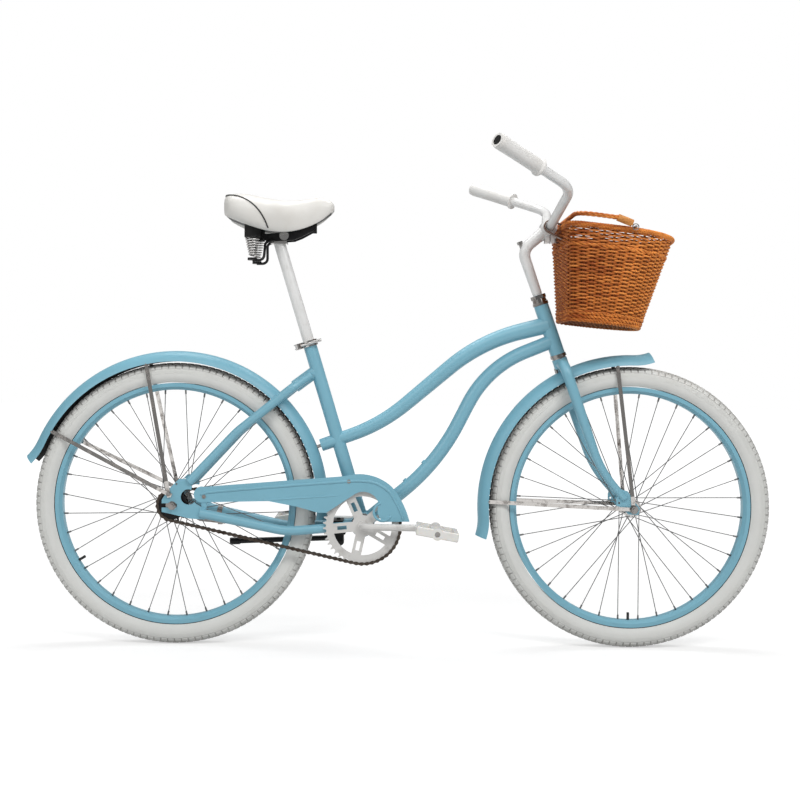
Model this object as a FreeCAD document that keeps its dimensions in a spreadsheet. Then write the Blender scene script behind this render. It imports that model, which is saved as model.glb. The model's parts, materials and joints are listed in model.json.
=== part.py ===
# Beach cruiser bicycle with a wicker basket. Lengths are in mm.
# +X is forward, +Z is up, the drive side faces -Y and the tyres stand on Z = 0.
import FreeCAD, Part
import math
import os
from types import SimpleNamespace

import Sketcher
from FreeCAD import Placement, Rotation, Vector

doc = FreeCAD.newDocument("BeachCruiser")

# Driving dimensions
SIZES = {
    "wheelbase": 1077,
    "tyre_radius": 333,
    "tyre_section": 27,
    "tyre_wall": 3.2,
    "rim_radius": 285,
    "rim_width": 34,
    "rim_depth": 16,
    "rim_wall": 1.8,
    "spoke_radius": 1.0,
    "nipple_radius": 2.1,
    "axle_radius": 4.8,
    "front_hub_width": 100,
    "rear_hub_width": 112,
    "dropout_thickness": 5,
    "bb_drop": 45,
    "chainstay_run": 444,
    "bb_width": 68,
    "bb_radius": 28,
    "bb_wall": 2.5,
    "seat_angle": 72.9,
    "seat_tube_length": 447,
    "seat_tube_radius": 15.9,
    "seat_post_radius": 13.6,
    "seat_post_gap": 0.05,
    "seat_post_rise": 252,
    "head_angle": 70.7,
    "fork_rake": 43.5,
    "head_tube_length": 124,
    "head_tube_radius": 17.5,
    "steerer_radius": 12.7,
    "steerer_wall": 1.6,
    "running_gap": 0.3,
    "top_tube_radius": 20,
    "down_tube_radius": 16.5,
    "tube_wall": 1.6,
    "chainstay_radius": 11,
    "boss_first": 143,
    "boss_spacing": 64,
    "seatstay_radius": 10.5,
    "fender_gap": 28,
    "fender_half_width": 32,
    "fender_depth": 25,
    "fender_sheet": 1.2,
    "crown_height": 22,
    "lower_stack": 11,
    "upper_stack": 26,
    "chain_pitch": 12.7,
    "chainring_teeth": 44,
    "sprocket_teeth": 18,
    "sprocket_thickness": 3,
    "chain_line": 48,
    "crank_length": 170,
    "crank_radius": 8,
    "pedal_length": 96,
    "pedal_width": 88,
    "pedal_height": 20,
    "pedal_barrel": 13.5,
    "bar_radius": 11.1,
    "bar_rise": 65,
    "bar_half_width": 342,
    "grip_length": 132,
    "grip_radius": 17.3,
    "stem_rise": 137,
    "saddle_length": 255,
    "saddle_half_width": 112,
    "spring_wire": 1.9,
    "spring_height": 46,
    "basket_height": 224,
    "basket_depth": 270,
    "basket_half_width": 158,
    "basket_wall": 7,
    "basket_stakes": 40,
    "basket_rib": 2.2,
    "kickstand_length": 262,
    "kickstand_radius": 6.5,
}
sheet = doc.addObject("Spreadsheet::Sheet", "Sizes")
for row, (alias, value) in enumerate(SIZES.items(), start=1):
    sheet.set(f"A{row}", alias)
    sheet.set(f"B{row}", str(value))
    sheet.setAlias(f"B{row}", alias)
doc.recompute()
size = SimpleNamespace(**{alias: float(sheet.get(alias)) for alias in SIZES})

UP = Vector(0, 0, 1)
ACROSS = Vector(0, 1, 0)
FORWARD = Vector(1, 0, 0)
nodes = {}


# Construction helpers
def value_of(text):
    return float(sheet.evalExpression(text))


def facing(base, direction):
    return Placement(base, Rotation(UP, direction))


def keep(label, piece):
    piece.Label = label
    nodes[label] = piece
    return piece


def bar(name, radius, length, base, direction):
    piece = doc.addObject("Part::Cylinder", name)
    piece.setExpression("Radius", radius)
    piece.setExpression("Height", length)
    piece.Placement = facing(base, direction)
    return piece


def block(name, length, width, height, placement):
    piece = doc.addObject("Part::Box", name)
    piece.setExpression("Length", length)
    piece.setExpression("Width", width)
    piece.setExpression("Height", height)
    piece.Placement = placement
    return piece


def hexagon(name, across_flats, height, base, direction):
    piece = doc.addObject("Part::Prism", name)
    piece.Polygon = 6
    piece.setExpression("Circumradius", f"({across_flats}) / 1.732")
    piece.setExpression("Height", height)
    piece.Placement = facing(base, direction)
    return piece


def fuse(name, *pieces):
    joined = doc.addObject("Part::MultiFuse", name)
    joined.Shapes = list(pieces)
    joined.Refine = False
    return joined


def cut(name, base, *tools):
    carved = base
    for number, tool in enumerate(tools, start=1):
        label = name if number == len(tools) else f"{name}_cut{number}"
        step = doc.addObject("Part::Cut", label)
        step.Base = carved
        step.Tool = tool
        carved = step
    return carved


def group(name, *pieces):
    together = doc.addObject("Part::Compound", name)
    together.Links = list(pieces)
    return together


def shaped(name, shape):
    piece = doc.addObject("Part::Feature", name)
    piece.Shape = shape
    return piece


def sketch_outline(body, name, role, outline):
    """A closed outline of straight lines, each corner held by two bound distances from the origin."""
    sketch = body.newObject("Sketcher::SketchObject", name)
    plane = [item for item in body.Origin.OriginFeatures if item.Role == role][0]
    sketch.AttachmentSupport = (plane, [""])
    sketch.MapMode = "FlatFace"
    corners = [Vector(value_of(across), value_of(along), 0) for across, along in outline]
    count = len(corners)
    for index in range(count):
        sketch.addGeometry(Part.LineSegment(corners[index], corners[(index + 1) % count]), False)
    for index in range(count):
        sketch.addConstraint(Sketcher.Constraint("Coincident", index, 2, (index + 1) % count, 1))
    for index, pair in enumerate(outline):
        for kind, text in zip(("DistanceX", "DistanceY"), pair):
            rule = Sketcher.Constraint(kind, -1, 1, index, 1, value_of(text))
            number = sketch.addConstraint(rule)
            sketch.setExpression(f"Constraints[{number}]", text)
    return sketch


def turned(name, profile, placement):
    """A PartDesign body turned about its own Z axis from (radius, height) corners."""
    body = doc.addObject("PartDesign::Body", name)
    sketch = sketch_outline(body, f"{name}_profile", "XZ_Plane", profile)
    spin = body.newObject("PartDesign::Revolution", f"{name}_turned")
    spin.Profile = sketch
    spin.ReferenceAxis = (sketch, ["V_Axis"])
    spin.Angle = 360
    body.Tip = spin
    body.Placement = placement
    return body


def plate(name, outline, thickness, placement):
    """A PartDesign body padded from an (x, y) outline, half its thickness to either side."""
    body = doc.addObject("PartDesign::Body", name)
    sketch = sketch_outline(body, f"{name}_outline", "XY_Plane", outline)
    pad = body.newObject("PartDesign::Pad", f"{name}_pad")
    pad.Profile = sketch
    pad.Midplane = True
    pad.setExpression("Length", thickness)
    body.Tip = pad
    body.Placement = placement
    return body


def rounded_path(points, bends):
    """A wire of straight runs with the given bend radius at each inner corner."""
    edges = []
    start = points[0]
    for corner, after, bend in zip(points[1:-1], points[2:], bends):
        back = (start - corner).normalize()
        ahead = (after - corner).normalize()
        half_turn = (math.pi - back.getAngle(ahead)) / 2
        reach = bend * math.tan(half_turn)
        enter = corner + back * reach
        leave = corner + ahead * reach
        inward = (back + ahead).normalize()
        middle = corner + inward * (bend / math.cos(half_turn) - bend)
        edges.append(Part.LineSegment(start, enter).toShape())
        edges.append(Part.Arc(enter, middle, leave).toShape())
        start = leave
    edges.append(Part.LineSegment(start, points[-1]).toShape())
    return Part.Wire(edges)


def swept(name, path, radius, end_radius=None):
    """A round bar along a wire; a second radius tapers it to its far end."""
    spine = shaped(f"{name}_path", path)
    edges = path.Edges
    first = doc.addObject("Part::Circle", f"{name}_section")
    first.setExpression("Radius", radius)
    first.Placement = facing(edges[0].Vertexes[0].Point, edges[0].tangentAt(edges[0].FirstParameter))
    sections = [first]
    if end_radius:
        last = doc.addObject("Part::Circle", f"{name}_end_section")
        last.setExpression("Radius", end_radius)
        last.Placement = facing(edges[-1].Vertexes[1].Point, edges[-1].tangentAt(edges[-1].LastParameter))
        sections.append(last)
    sweep = doc.addObject("Part::Sweep", name)
    sweep.Sections = sections
    sweep.Spine = (spine, [f"Edge{number}" for number in range(1, len(edges) + 1)])
    sweep.Solid = True
    return sweep


# Main points, from the rear axle forward and from the ground up
fender_radius = size.tyre_radius + size.fender_gap
tail_angle = 156.0
tail_flare = 45.0
tail_bend = 120.0
tail_turn = math.degrees(tail_flare / tail_bend)
tail_centre = fender_radius + tail_bend
tail_direction = math.radians(tail_angle)
tail_reach = -(tail_centre * math.cos(tail_direction)
               - tail_bend * math.cos(tail_direction - math.radians(tail_turn)))
rear_x = (max(tail_reach, size.tyre_radius) - size.wheelbase - size.tyre_radius) / 2


def at(x, z, y=0.0):
    return Vector(rear_x + x, y, z)


rear_axle = at(0, size.tyre_radius)
front_axle = at(size.wheelbase, size.tyre_radius)
bracket = at(size.chainstay_run, size.tyre_radius - size.bb_drop)
seat_up = Vector(-math.cos(math.radians(size.seat_angle)), 0, math.sin(math.radians(size.seat_angle)))
seat_top = bracket + seat_up * size.seat_tube_length
steer_up = Vector(-math.cos(math.radians(size.head_angle)), 0, math.sin(math.radians(size.head_angle)))
steer_ahead = Vector(math.sin(math.radians(size.head_angle)), 0, math.cos(math.radians(size.head_angle)))
crown_foot = fender_radius + 4
head_low = crown_foot + size.crown_height + size.lower_stack


def steer(along, ahead=0.0, y=0.0):
    """A point given along the steering axis from the front axle's level, ahead of it and across."""
    return front_axle + steer_up * along + steer_ahead * (ahead - size.fork_rake) + ACROSS * y


head_bottom = steer(head_low)
head_top = steer(head_low + size.head_tube_length)


# Wheels: tyre, inner tube with valve, rim, laced spokes and hub shell; local Z points to the drive side
def wheel_placement(centre):
    return Placement(centre, Rotation(FORWARD, 90))


def spoke_set(centre, valve_angle, flange_radius, flange_offset):
    """Thirty-six spokes crossed three times, each with its elbow through the flange and its nipple."""
    spokes = []
    hole_radius = flange_radius - 4
    rim_inner = size.rim_radius - size.rim_depth
    for number in range(36):
        rim_angle = math.radians(valve_angle + 5 + 10 * number)
        side = 1 if number % 2 == 0 else -1
        lead = 1 if (number // 2) % 2 == 0 else -1
        hub_angle = rim_angle + lead * math.radians(60)
        depth = side * flange_offset + lead * 2.5 * side
        foot = Vector(hole_radius * math.cos(hub_angle), hole_radius * math.sin(hub_angle), depth)
        tip_radius = rim_inner + 2.2
        tip = Vector(tip_radius * math.cos(rim_angle), tip_radius * math.sin(rim_angle), side * 2)
        run = tip - foot
        wire = Part.makeCylinder(size.spoke_radius, run.Length, foot, run)
        outer_face = foot + Vector(0, 0, lead * side * 1.3)
        elbow = Part.makeCylinder(size.spoke_radius + 0.2, 6.2, outer_face, Vector(0, 0, -lead * side))
        nipple_start = foot + run * (1 - 12 / run.Length)
        nipple = Part.makeCylinder(size.nipple_radius, 12.0, nipple_start, run)
        spokes.append(wire.fuse(elbow).fuse(nipple))
    set_of_spokes = Part.makeCompound(spokes)
    set_of_spokes.Placement = wheel_placement(centre)
    return set_of_spokes


def wheel(end, centre, valve_angle, flange_radius, flange_offset, hub_profile):
    place = wheel_placement(centre)
    valve_way = math.radians(valve_angle)
    outward = Vector(math.cos(valve_way), 0, math.sin(valve_way))
    half = "Sizes.rim_width / 2"
    floor = "Sizes.rim_radius - Sizes.rim_depth"
    wall = "Sizes.rim_wall"
    channel = [
        ("Sizes.rim_radius", half),
        ("Sizes.rim_radius - 9", half),
        (floor, f"{half} - 8"),
        (floor, f"-{half} + 8"),
        ("Sizes.rim_radius - 9", f"-{half}"),
        ("Sizes.rim_radius", f"-{half}"),
        ("Sizes.rim_radius", f"-{half} + {wall}"),
        ("Sizes.rim_radius - 8.4", f"-{half} + {wall}"),
        (f"{floor} + {wall}", f"-{half} + 8.6"),
        (f"{floor} + {wall}", f"{half} - 8.6"),
        ("Sizes.rim_radius - 8.4", f"{half} - {wall}"),
        ("Sizes.rim_radius", f"{half} - {wall}"),
    ]
    ring = turned(f"{end}_rim_channel", channel, place)
    hole = bar(f"{end}_valve_hole", "3.5", "Sizes.rim_radius", centre, outward)
    keep(f"{end}_rim", cut(f"{end}_rim", ring, hole))

    def torus(name, section):
        piece = doc.addObject("Part::Torus", f"{end}_{name}")
        piece.setExpression("Radius1", "Sizes.tyre_radius - Sizes.tyre_section")
        piece.setExpression("Radius2", section)
        piece.Placement = place
        return piece

    def plug(name, radius):
        across = "2 * Sizes.tyre_section"
        near_side = centre + ACROSS * size.tyre_section
        return bar(f"{end}_{name}", radius, across, near_side, -ACROSS)

    carcass = cut(f"{end}_carcass", torus("casing", "Sizes.tyre_section"),
                  torus("casing_hollow", "Sizes.tyre_section - Sizes.tyre_wall"),
                  plug("seat_plug", "Sizes.rim_radius + Sizes.running_gap"))
    beads = []
    for side in (-1, 1):
        low = f"{half} - {wall} - 0.15"
        high = f"{half} - {wall} - 3.6"
        lip = [
            ("Sizes.rim_radius - 5", f"{side} * ({low})"),
            ("Sizes.rim_radius + 1.5", f"{side} * ({low})"),
            ("Sizes.rim_radius + 1.5", f"{side} * ({high})"),
            ("Sizes.rim_radius - 5", f"{side} * ({high})"),
        ]
        beads.append(turned(f"{end}_bead_{'left' if side < 0 else 'right'}", lip, place))
    keep(f"{end}_tyre", fuse(f"{end}_tyre", carcass, *beads))

    tube = cut(f"{end}_tube_ring", torus("tube", "Sizes.tyre_section - Sizes.tyre_wall - 0.4"),
               plug("tube_plug", "Sizes.rim_radius + 3.5"),
               torus("tube_air", "Sizes.tyre_section - Sizes.tyre_wall - 11"))
    stem_start = centre + outward * (size.rim_radius - 33)
    stem = bar(f"{end}_valve_stem", "3.2", "40", stem_start, outward)
    keep(f"{end}_inner_tube", fuse(f"{end}_inner_tube", tube, stem))

    laced = spoke_set(centre, valve_angle, flange_radius, flange_offset)
    keep(f"{end}_spokes", shaped(f"{end}_spokes", laced))
    keep(f"{end}_hub_shell", turned(f"{end}_hub_shell", hub_profile, place))


def hub_outline(half_length, flange_offset, flange, barrel, cap, bore):
    """Half outline of a flanged hub shell, mirrored about the wheel's middle."""
    right = [(cap, half_length), (cap, f"{flange_offset} + 1.6"), (flange, f"{flange_offset} + 1.6"),
             (flange, f"{flange_offset} - 1.6"), (barrel, f"{flange_offset} - 5")]
    left = [(radius, f"-({height})") for radius, height in reversed(right)]
    return right + left + [(bore, f"-({half_length})"), (bore, half_length)]


front_flange = 31
rear_flange = 30
wheel("front", front_axle, 270, 23, front_flange,
      hub_outline("39", str(front_flange), "23", "12.5", "15", "9.5"))
wheel("rear", rear_axle, 211, 34, rear_flange,
      hub_outline("40", str(rear_flange), "34", "22", "25", "16"))


# Axles with their cones and locknuts in one piece, then washers and nuts outside the frame plates
def axle_set(end, centre, hub_width, cone_radius, cone_start, stack, length_beyond):
    place = wheel_placement(centre)
    half = f"Sizes.{hub_width} / 2"
    tip = f"{half} + {length_beyond}"
    rod = "Sizes.axle_radius"
    cone = f"{cone_radius} - Sizes.running_gap"
    right = [("0", tip), (rod, tip), (rod, f"{half} - 0.1"), (cone, f"{half} - 0.1"),
             (cone, str(cone_start)),
             (rod, str(cone_start))]
    left = [(radius, f"-({height})") for radius, height in reversed(right)]
    keep(f"{end}_axle", turned(f"{end}_axle", right + left, place))
    nuts = []
    for side in (-1, 1):
        face = getattr(size, hub_width) / 2 + stack
        washer_base = centre + ACROSS * side * face
        nut_base = centre + ACROSS * side * (face + 1.7)
        word = "left" if side > 0 else "right"
        washer = bar(f"{end}_washer_{word}", "10", "1.6", washer_base, ACROSS * side)
        nut = hexagon(f"{end}_hex_{word}", "15", "9", nut_base, ACROSS * side)
        hole = bar(f"{end}_nut_hole_{word}", f"{rod} + 0.05", "30", centre + ACROSS * side * (face - 5),
                   ACROSS * side)
        nuts.append(cut(f"{end}_washer_ring_{word}", washer, hole))
        nuts.append(cut(f"{end}_nut_{word}", nut, hole))
    keep(f"{end}_axle_nuts", group(f"{end}_axle_nuts", *nuts))


stay_sheet = 2.0
axle_set("front", front_axle, "front_hub_width", "9.5", 30,
         size.dropout_thickness + 2 * stay_sheet + 0.6, 23)
axle_set("rear", rear_axle, "rear_hub_width", "16", 34, size.dropout_thickness + 0.3, 20)


# Frame tubes, each coped with the solid cylinders of the tubes it meets
def seat(along, behind=0.0, y=0.0):
    """A point along the seat tube from the bottom bracket, behind its axis and across."""
    back = Vector(-seat_up.z, 0, seat_up.x)
    return bracket + seat_up * along + back * behind + ACROSS * y


head_core = bar("head_core", "Sizes.head_tube_radius", "Sizes.head_tube_length + 40",
                steer(head_low - 20), steer_up)
head_bore = bar("head_bore", "Sizes.head_tube_radius - 2.5", "Sizes.head_tube_length", head_bottom,
                steer_up)
head_outside = bar("head_outside", "Sizes.head_tube_radius", "Sizes.head_tube_length", head_bottom,
                   steer_up)
keep("head_tube", cut("head_tube", head_outside, head_bore))

bb_half = ACROSS * (size.bb_width / 2)
bb_core = bar("bb_core", "Sizes.bb_radius", "Sizes.bb_width", bracket + bb_half, -ACROSS)
bb_outside = bar("bb_outside", "Sizes.bb_radius", "Sizes.bb_width", bracket + bb_half, -ACROSS)
bb_room = bar("bb_room", "Sizes.bb_radius", "Sizes.bb_width + 24", bracket + bb_half + ACROSS * 12, -ACROSS)
bb_bore = bar("bb_bore", "Sizes.bb_radius - Sizes.bb_wall", "Sizes.bb_width", bracket + bb_half, -ACROSS)
keep("bottom_bracket_shell", cut("bottom_bracket_shell", bb_outside, bb_bore))

seat_core = bar("seat_core", "Sizes.seat_tube_radius", "Sizes.seat_tube_length + 20", bracket, seat_up)
seat_outside = bar("seat_outside", "Sizes.seat_tube_radius", "Sizes.seat_tube_length", bracket, seat_up)
seat_bore = bar("seat_bore", "Sizes.seat_post_radius + Sizes.seat_post_gap",
                "Sizes.seat_tube_length", bracket,
                seat_up)
keep("seat_tube", cut("seat_tube", seat_outside, seat_bore, bb_core))

stub_end = seat(206, 42)
top_route = [steer(head_low + 74), steer(head_low + 88, -163), seat(213, -110), stub_end]
top_path = rounded_path(top_route, [420, 420])
top_outside = swept("top_outside", top_path, "Sizes.top_tube_radius", "Sizes.top_tube_radius - 5")
top_inside = swept("top_inside", top_path, "Sizes.top_tube_radius - Sizes.tube_wall",
                   "Sizes.top_tube_radius - 5 - Sizes.tube_wall")
keep("top_tube", cut("top_tube", top_outside, top_inside, head_core, seat_core))

down_route = [steer(head_low + 34), steer(head_low + 25, -169), bracket + Vector(177, 0, 146), bracket]
down_path = rounded_path(down_route, [260, 500])
down_outside = swept("down_outside", down_path, "Sizes.down_tube_radius")
down_inside = swept("down_inside", down_path, "Sizes.down_tube_radius - Sizes.tube_wall")
boss_places = []
bosses = []
boss_holes = []


def on_path(path, back):
    """The point and the direction on a path at a distance back from its end."""
    for edge in reversed(path.Edges):
        if back <= edge.Length:
            place = edge.getParameterByLength(edge.Length - back)
            return edge.valueAt(place), edge.tangentAt(place)
        back -= edge.Length
    raise RuntimeError("the path is shorter than that")


for number, distance in enumerate((size.boss_first, size.boss_first + size.boss_spacing), start=1):
    middle, way = on_path(down_path, distance)
    boss_way = way.cross(ACROSS).normalize()
    if boss_way.z < 0:
        boss_way = -boss_way
    foot = middle + boss_way * (size.down_tube_radius - 6)
    bosses.append(bar(f"boss_{number}", "5", "8.5", foot, boss_way))
    boss_holes.append(bar(f"boss_hole_{number}", "2.1", "14", foot - boss_way * 4, boss_way))
    boss_places.append((middle, boss_way))
down_body = fuse("down_body", down_outside, *bosses)
keep("down_tube", cut("down_tube", down_body, down_inside, head_core, bb_core, seat_core, *boss_holes))

# Rear dropout plates, open to the rear for the axle and round-necked ahead of it
plate_middle = size.rear_hub_width / 2 + size.dropout_thickness / 2
dropout_outline = [
    ("-24", "-15"), ("-24", "13"), ("-10", "36"), ("16", "62"), ("38", "62"), ("46", "44"), ("40", "18"),
    ("56", "4"), ("80", "-10"), ("76", "-32"), ("40", "-30"), ("8", "-22"),
]
dropouts = []
for side in (-1, 1):
    word = "right" if side < 0 else "left"
    middle = rear_axle + ACROSS * side * plate_middle
    blank = plate(f"dropout_blank_{word}", dropout_outline, "Sizes.dropout_thickness",
                  Placement(middle, Rotation(FORWARD, 90)))
    near = middle - ACROSS * side * 10
    neck = bar(f"dropout_neck_{word}", "18", "20", near + Vector(38, 0, 20), ACROSS * side)
    slot_end = bar(f"dropout_slot_end_{word}", "Sizes.axle_radius + 0.2", "20",
                   near + Vector(7, 0, 0), ACROSS * side)
    slot_corner = middle + Vector(-40, -10, -size.axle_radius - 0.2)
    slot = block(f"dropout_slot_{word}", "47", "20", "2 * (Sizes.axle_radius + 0.2)",
                 Placement(slot_corner, Rotation()))
    eyelet = bar(f"dropout_eyelet_{word}", "2.6", "20", near + Vector(-8, 0, 27), ACROSS * side)
    rack_eye = bar(f"dropout_rack_eye_{word}", "2.6", "20", near + Vector(10, 0, 50), ACROSS * side)
    dropouts.append(cut(f"dropout_{word}", blank, neck, slot_end, slot, eyelet, rack_eye))
keep("rear_dropouts", group("rear_dropouts", *dropouts))

# Chain stays and seat stays run round the wheel to the plates; the wishbone carries the seat stays
chainstays = []
seatstays = []
yoke_front = seat(380)
yoke_way = Vector(-0.800, 0, -0.600)
yoke = bar("yoke_bar", "15", "66", yoke_front, yoke_way)
yoke_core = bar("yoke_core", "15", "66", yoke_front, yoke_way)
for side in (-1, 1):
    word = "right" if side < 0 else "left"
    blade = dropouts[0] if side < 0 else dropouts[1]
    low = [
        at(64, size.tyre_radius - 17, side * plate_middle),
        at(size.tyre_radius * 0.80, size.tyre_radius - 60, side * 45),
        at(size.chainstay_run - 80, size.tyre_radius - 53, side * 33),
        bracket + ACROSS * side * 20,
    ]
    run = swept(f"chainstay_bar_{word}", rounded_path(low, [200, 60]), "Sizes.chainstay_radius")
    chainstays.append(cut(f"chainstay_{word}", run, bb_room, blade))
    clear_side = side * (size.fender_half_width + size.seatstay_radius + 3)
    high = [
        at(39, size.tyre_radius + 55, side * plate_middle),
        at(148, size.tyre_radius + 172, clear_side),
        yoke_front + yoke_way * 70 + ACROSS * clear_side,
        yoke_front + yoke_way * 22 + ACROSS * side * 12,
    ]
    rise = swept(f"seatstay_bar_{word}", rounded_path(high, [160, 40]), "Sizes.seatstay_radius")
    seatstays.append(cut(f"seatstay_{word}", rise, yoke_core, blade))
keep("chain_stays", group("chain_stays", *chainstays))
wishbone = cut("wishbone", yoke, seat_core)
keep("seat_stays", group("seat_stays", wishbone, *seatstays))

# Headset: cups pressed in the head tube, races and locknut on the steerer
gap = "Sizes.running_gap"
steerer = "Sizes.steerer_radius"
cup_bore = f"{steerer} + {gap}"
tube_bore = "Sizes.head_tube_radius - 2.5"
lower_cup = turned("lower_cup", [
    (cup_bore, "-8"), (tube_bore, "-8"), (tube_bore, "0"), ("Sizes.head_tube_radius + 1.5", "0"),
    ("Sizes.head_tube_radius + 2", "Sizes.lower_stack - 3.5"), (cup_bore, "Sizes.lower_stack - 3.5"),
], facing(head_bottom, -steer_up))
upper_cup = turned("upper_cup", [
    (cup_bore, "-8"), (tube_bore, "-8"), (tube_bore, "0"), ("Sizes.head_tube_radius + 1.5", "0"),
    ("Sizes.head_tube_radius + 1", "7"), (cup_bore, "7"),
], facing(head_top, steer_up))
keep("headset_cups", group("headset_cups", lower_cup, upper_cup))
crown_race = turned("crown_race", [
    (steerer, "0.1"), ("Sizes.head_tube_radius - 1", "0.1"), ("Sizes.head_tube_radius - 1", "3.1"),
    (steerer, "3.1"),
], facing(steer(crown_foot + size.crown_height), steer_up))
top_race = turned("top_race", [
    (steerer, "7.3"), ("Sizes.head_tube_radius - 0.5", "7.3"),
    ("Sizes.head_tube_radius - 1.5", "15"), (steerer, "15"),
], facing(head_top, steer_up))
lock_hex = hexagon("locknut_hex", "32", "9", head_top + steer_up * 15.2, steer_up)
lock_bore = bar("locknut_bore", steerer, "40", head_top, steer_up)
locknut = cut("locknut", lock_hex, lock_bore)
keep("headset_races", group("headset_races", crown_race, top_race, locknut))

# Bottom bracket cups and the cones that turn with the crank
bb_bore_size = "Sizes.bb_radius - Sizes.bb_wall"
cups = []
cones = []
for side in (-1, 1):
    word = "right" if side < 0 else "left"
    place = facing(bracket + ACROSS * side * size.bb_width / 2, ACROSS * side)
    cups.append(turned(f"bb_cup_{word}", [
        ("15.3", "-12"), (bb_bore_size, "-12"), (bb_bore_size, "0"), ("Sizes.bb_radius - 0.5", "0"),
        ("Sizes.bb_radius - 2", "3"), ("15.3", "3"),
    ], place))
    cones.append(turned(f"crank_cone_{word}", [
        ("11.05", "-6"), ("15", "-6"), ("15", "3.3"), ("18", "3.3"), ("18", "7"), ("11.05", "7"),
    ], place))
keep("bottom_bracket_cups", group("bottom_bracket_cups", *cups))
keep("crank_cones", group("crank_cones", *cones))

# Seat clamp: split collar, cross bolt with its nut, and the quick-release lever that lies forward
collar_foot = seat_top - seat_up * 8
collar_ring = bar("collar_ring", "Sizes.seat_tube_radius + 3.6", "14", collar_foot, seat_up)
collar_back = -seat_up.cross(ACROSS)
if collar_back.x > 0:
    collar_back = -collar_back
ear_turn = Rotation(collar_back, -ACROSS, seat_up, "ZXY")
ear_corner = collar_foot + collar_back * (size.seat_tube_radius + 1) + ACROSS * 8
ears = block("collar_ears", "17", "16", "14", Placement(ear_corner, ear_turn))
collar_bore = bar("collar_bore", "Sizes.seat_tube_radius + 0.05", "8", collar_foot, seat_up)
collar_mouth = bar("collar_mouth", "Sizes.seat_post_radius + 0.3", "20", collar_foot, seat_up)
slit_corner = collar_foot + collar_back * 10 + ACROSS * 1.5 - seat_up * 1
slit = block("collar_slit", "40", "3", "20", Placement(slit_corner, ear_turn))
bolt_centre = collar_foot + collar_back * (size.seat_tube_radius + 11) + seat_up * 7
bolt_hole = bar("clamp_bolt_hole", "3.1", "60", bolt_centre - ACROSS * 30, ACROSS)
collar_solid = fuse("collar_solid", collar_ring, ears)
collar = cut("collar", collar_solid, collar_bore, collar_mouth, slit, bolt_hole)
cam_centre = bolt_centre - ACROSS * 19
clamp_bolt = bar("clamp_bolt", "3", "35", cam_centre, ACROSS)
clamp_nut = bar("clamp_nut", "6", "7", bolt_centre + ACROSS * 8.2, ACROSS)
clamp_eye = bar("clamp_eye", "5.5", "6.4", cam_centre - seat_up * 3.2, seat_up)
clamp_pin = bar("clamp_pin", "2.5", "12", cam_centre - seat_up * 6, seat_up)
clamp_screw = fuse("clamp_screw", clamp_bolt, clamp_nut, clamp_eye, clamp_pin)
keep("seat_clamp", group("seat_clamp", collar, clamp_screw))
cam = bar("lever_cam", "9", "12", cam_centre - seat_up * 6, seat_up)
cam_hole = bar("lever_cam_hole", "2.58", "40", cam_centre - seat_up * 20, seat_up)
cam_slot = bar("lever_cam_slot", "7.2", "7", cam_centre - seat_up * 3.5, seat_up)
gate_corner = cam_centre - collar_back * 4.5 + ACROSS * 20 - seat_up * 3.5
cam_gate = block("lever_cam_gate", "40", "40", "7", Placement(gate_corner, ear_turn))
lever_start = cam_centre - collar_back * 7.6
lever_route = [lever_start, lever_start - collar_back * 16 - ACROSS * 5,
               lever_start - collar_back * 50 - ACROSS * 2]
lever_arm = swept("lever_arm", rounded_path(lever_route, [30]), "3.6")
lever_body = fuse("lever_body", cam, lever_arm)
keep("seat_clamp_lever", cut("seat_clamp_lever", lever_body, cam_gate, cam_slot, cam_hole))


# Fork: steerer, crown, two tapered blades that curve forward, and the plates that hold the front axle
steerer_length = "Sizes.crown_height + Sizes.lower_stack + Sizes.head_tube_length + 24"
steerer_bar = bar("steerer_bar", steerer, steerer_length, steer(crown_foot), steer_up)
steerer_bore = bar("steerer_bore", f"{steerer} - Sizes.steerer_wall", f"{steerer_length} + 2",
                   steer(crown_foot - 1), steer_up)
crown = bar("fork_crown", "18", "Sizes.crown_height", steer(crown_foot), steer_up)
blade_side = size.fender_half_width + 18
fork_pieces = [steerer_bar, crown]
axle_bores = []
fork_plate_middle = size.front_hub_width / 2 + size.dropout_thickness / 2
fork_outline = [
    ("-12", "-12"), ("11", "-13"), ("15", "3"), ("2", "18"), ("-14", "42"), ("-34", "48"),
    ("-40", "24"), ("-40", "8"),
    ("-26", "4"),
]
for side in (-1, 1):
    word = "right" if side < 0 else "left"
    end_way = (steer(110, 0) - front_axle).normalize()
    route = [
        steer(crown_foot + size.crown_height - 14, 0, side * 10),
        steer(crown_foot + 9, 0, side * blade_side),
        steer(110, 0, side * (blade_side + 1)),
        front_axle + end_way * 32 + ACROSS * side * fork_plate_middle,
    ]
    fork_pieces.append(swept(f"fork_blade_{word}", rounded_path(route, [30, 260]), "13.5", "9"))
    middle = front_axle + ACROSS * side * fork_plate_middle
    fork_pieces.append(plate(f"fork_end_{word}", fork_outline, "Sizes.dropout_thickness",
                             Placement(middle, Rotation(FORWARD, 90))))
    near = middle - ACROSS * side * 10
    axle_bores.append(bar(f"fork_axle_hole_{word}", "Sizes.axle_radius + 0.2", "20", near, ACROSS * side))
    axle_bores.append(bar(f"fork_eyelet_{word}", "2.6", "20", near + Vector(-34, 0, 15), ACROSS * side))
fork_solid = fuse("fork_solid", *fork_pieces)
keep("fork", cut("fork", fork_solid, steerer_bore, *axle_bores))

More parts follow.
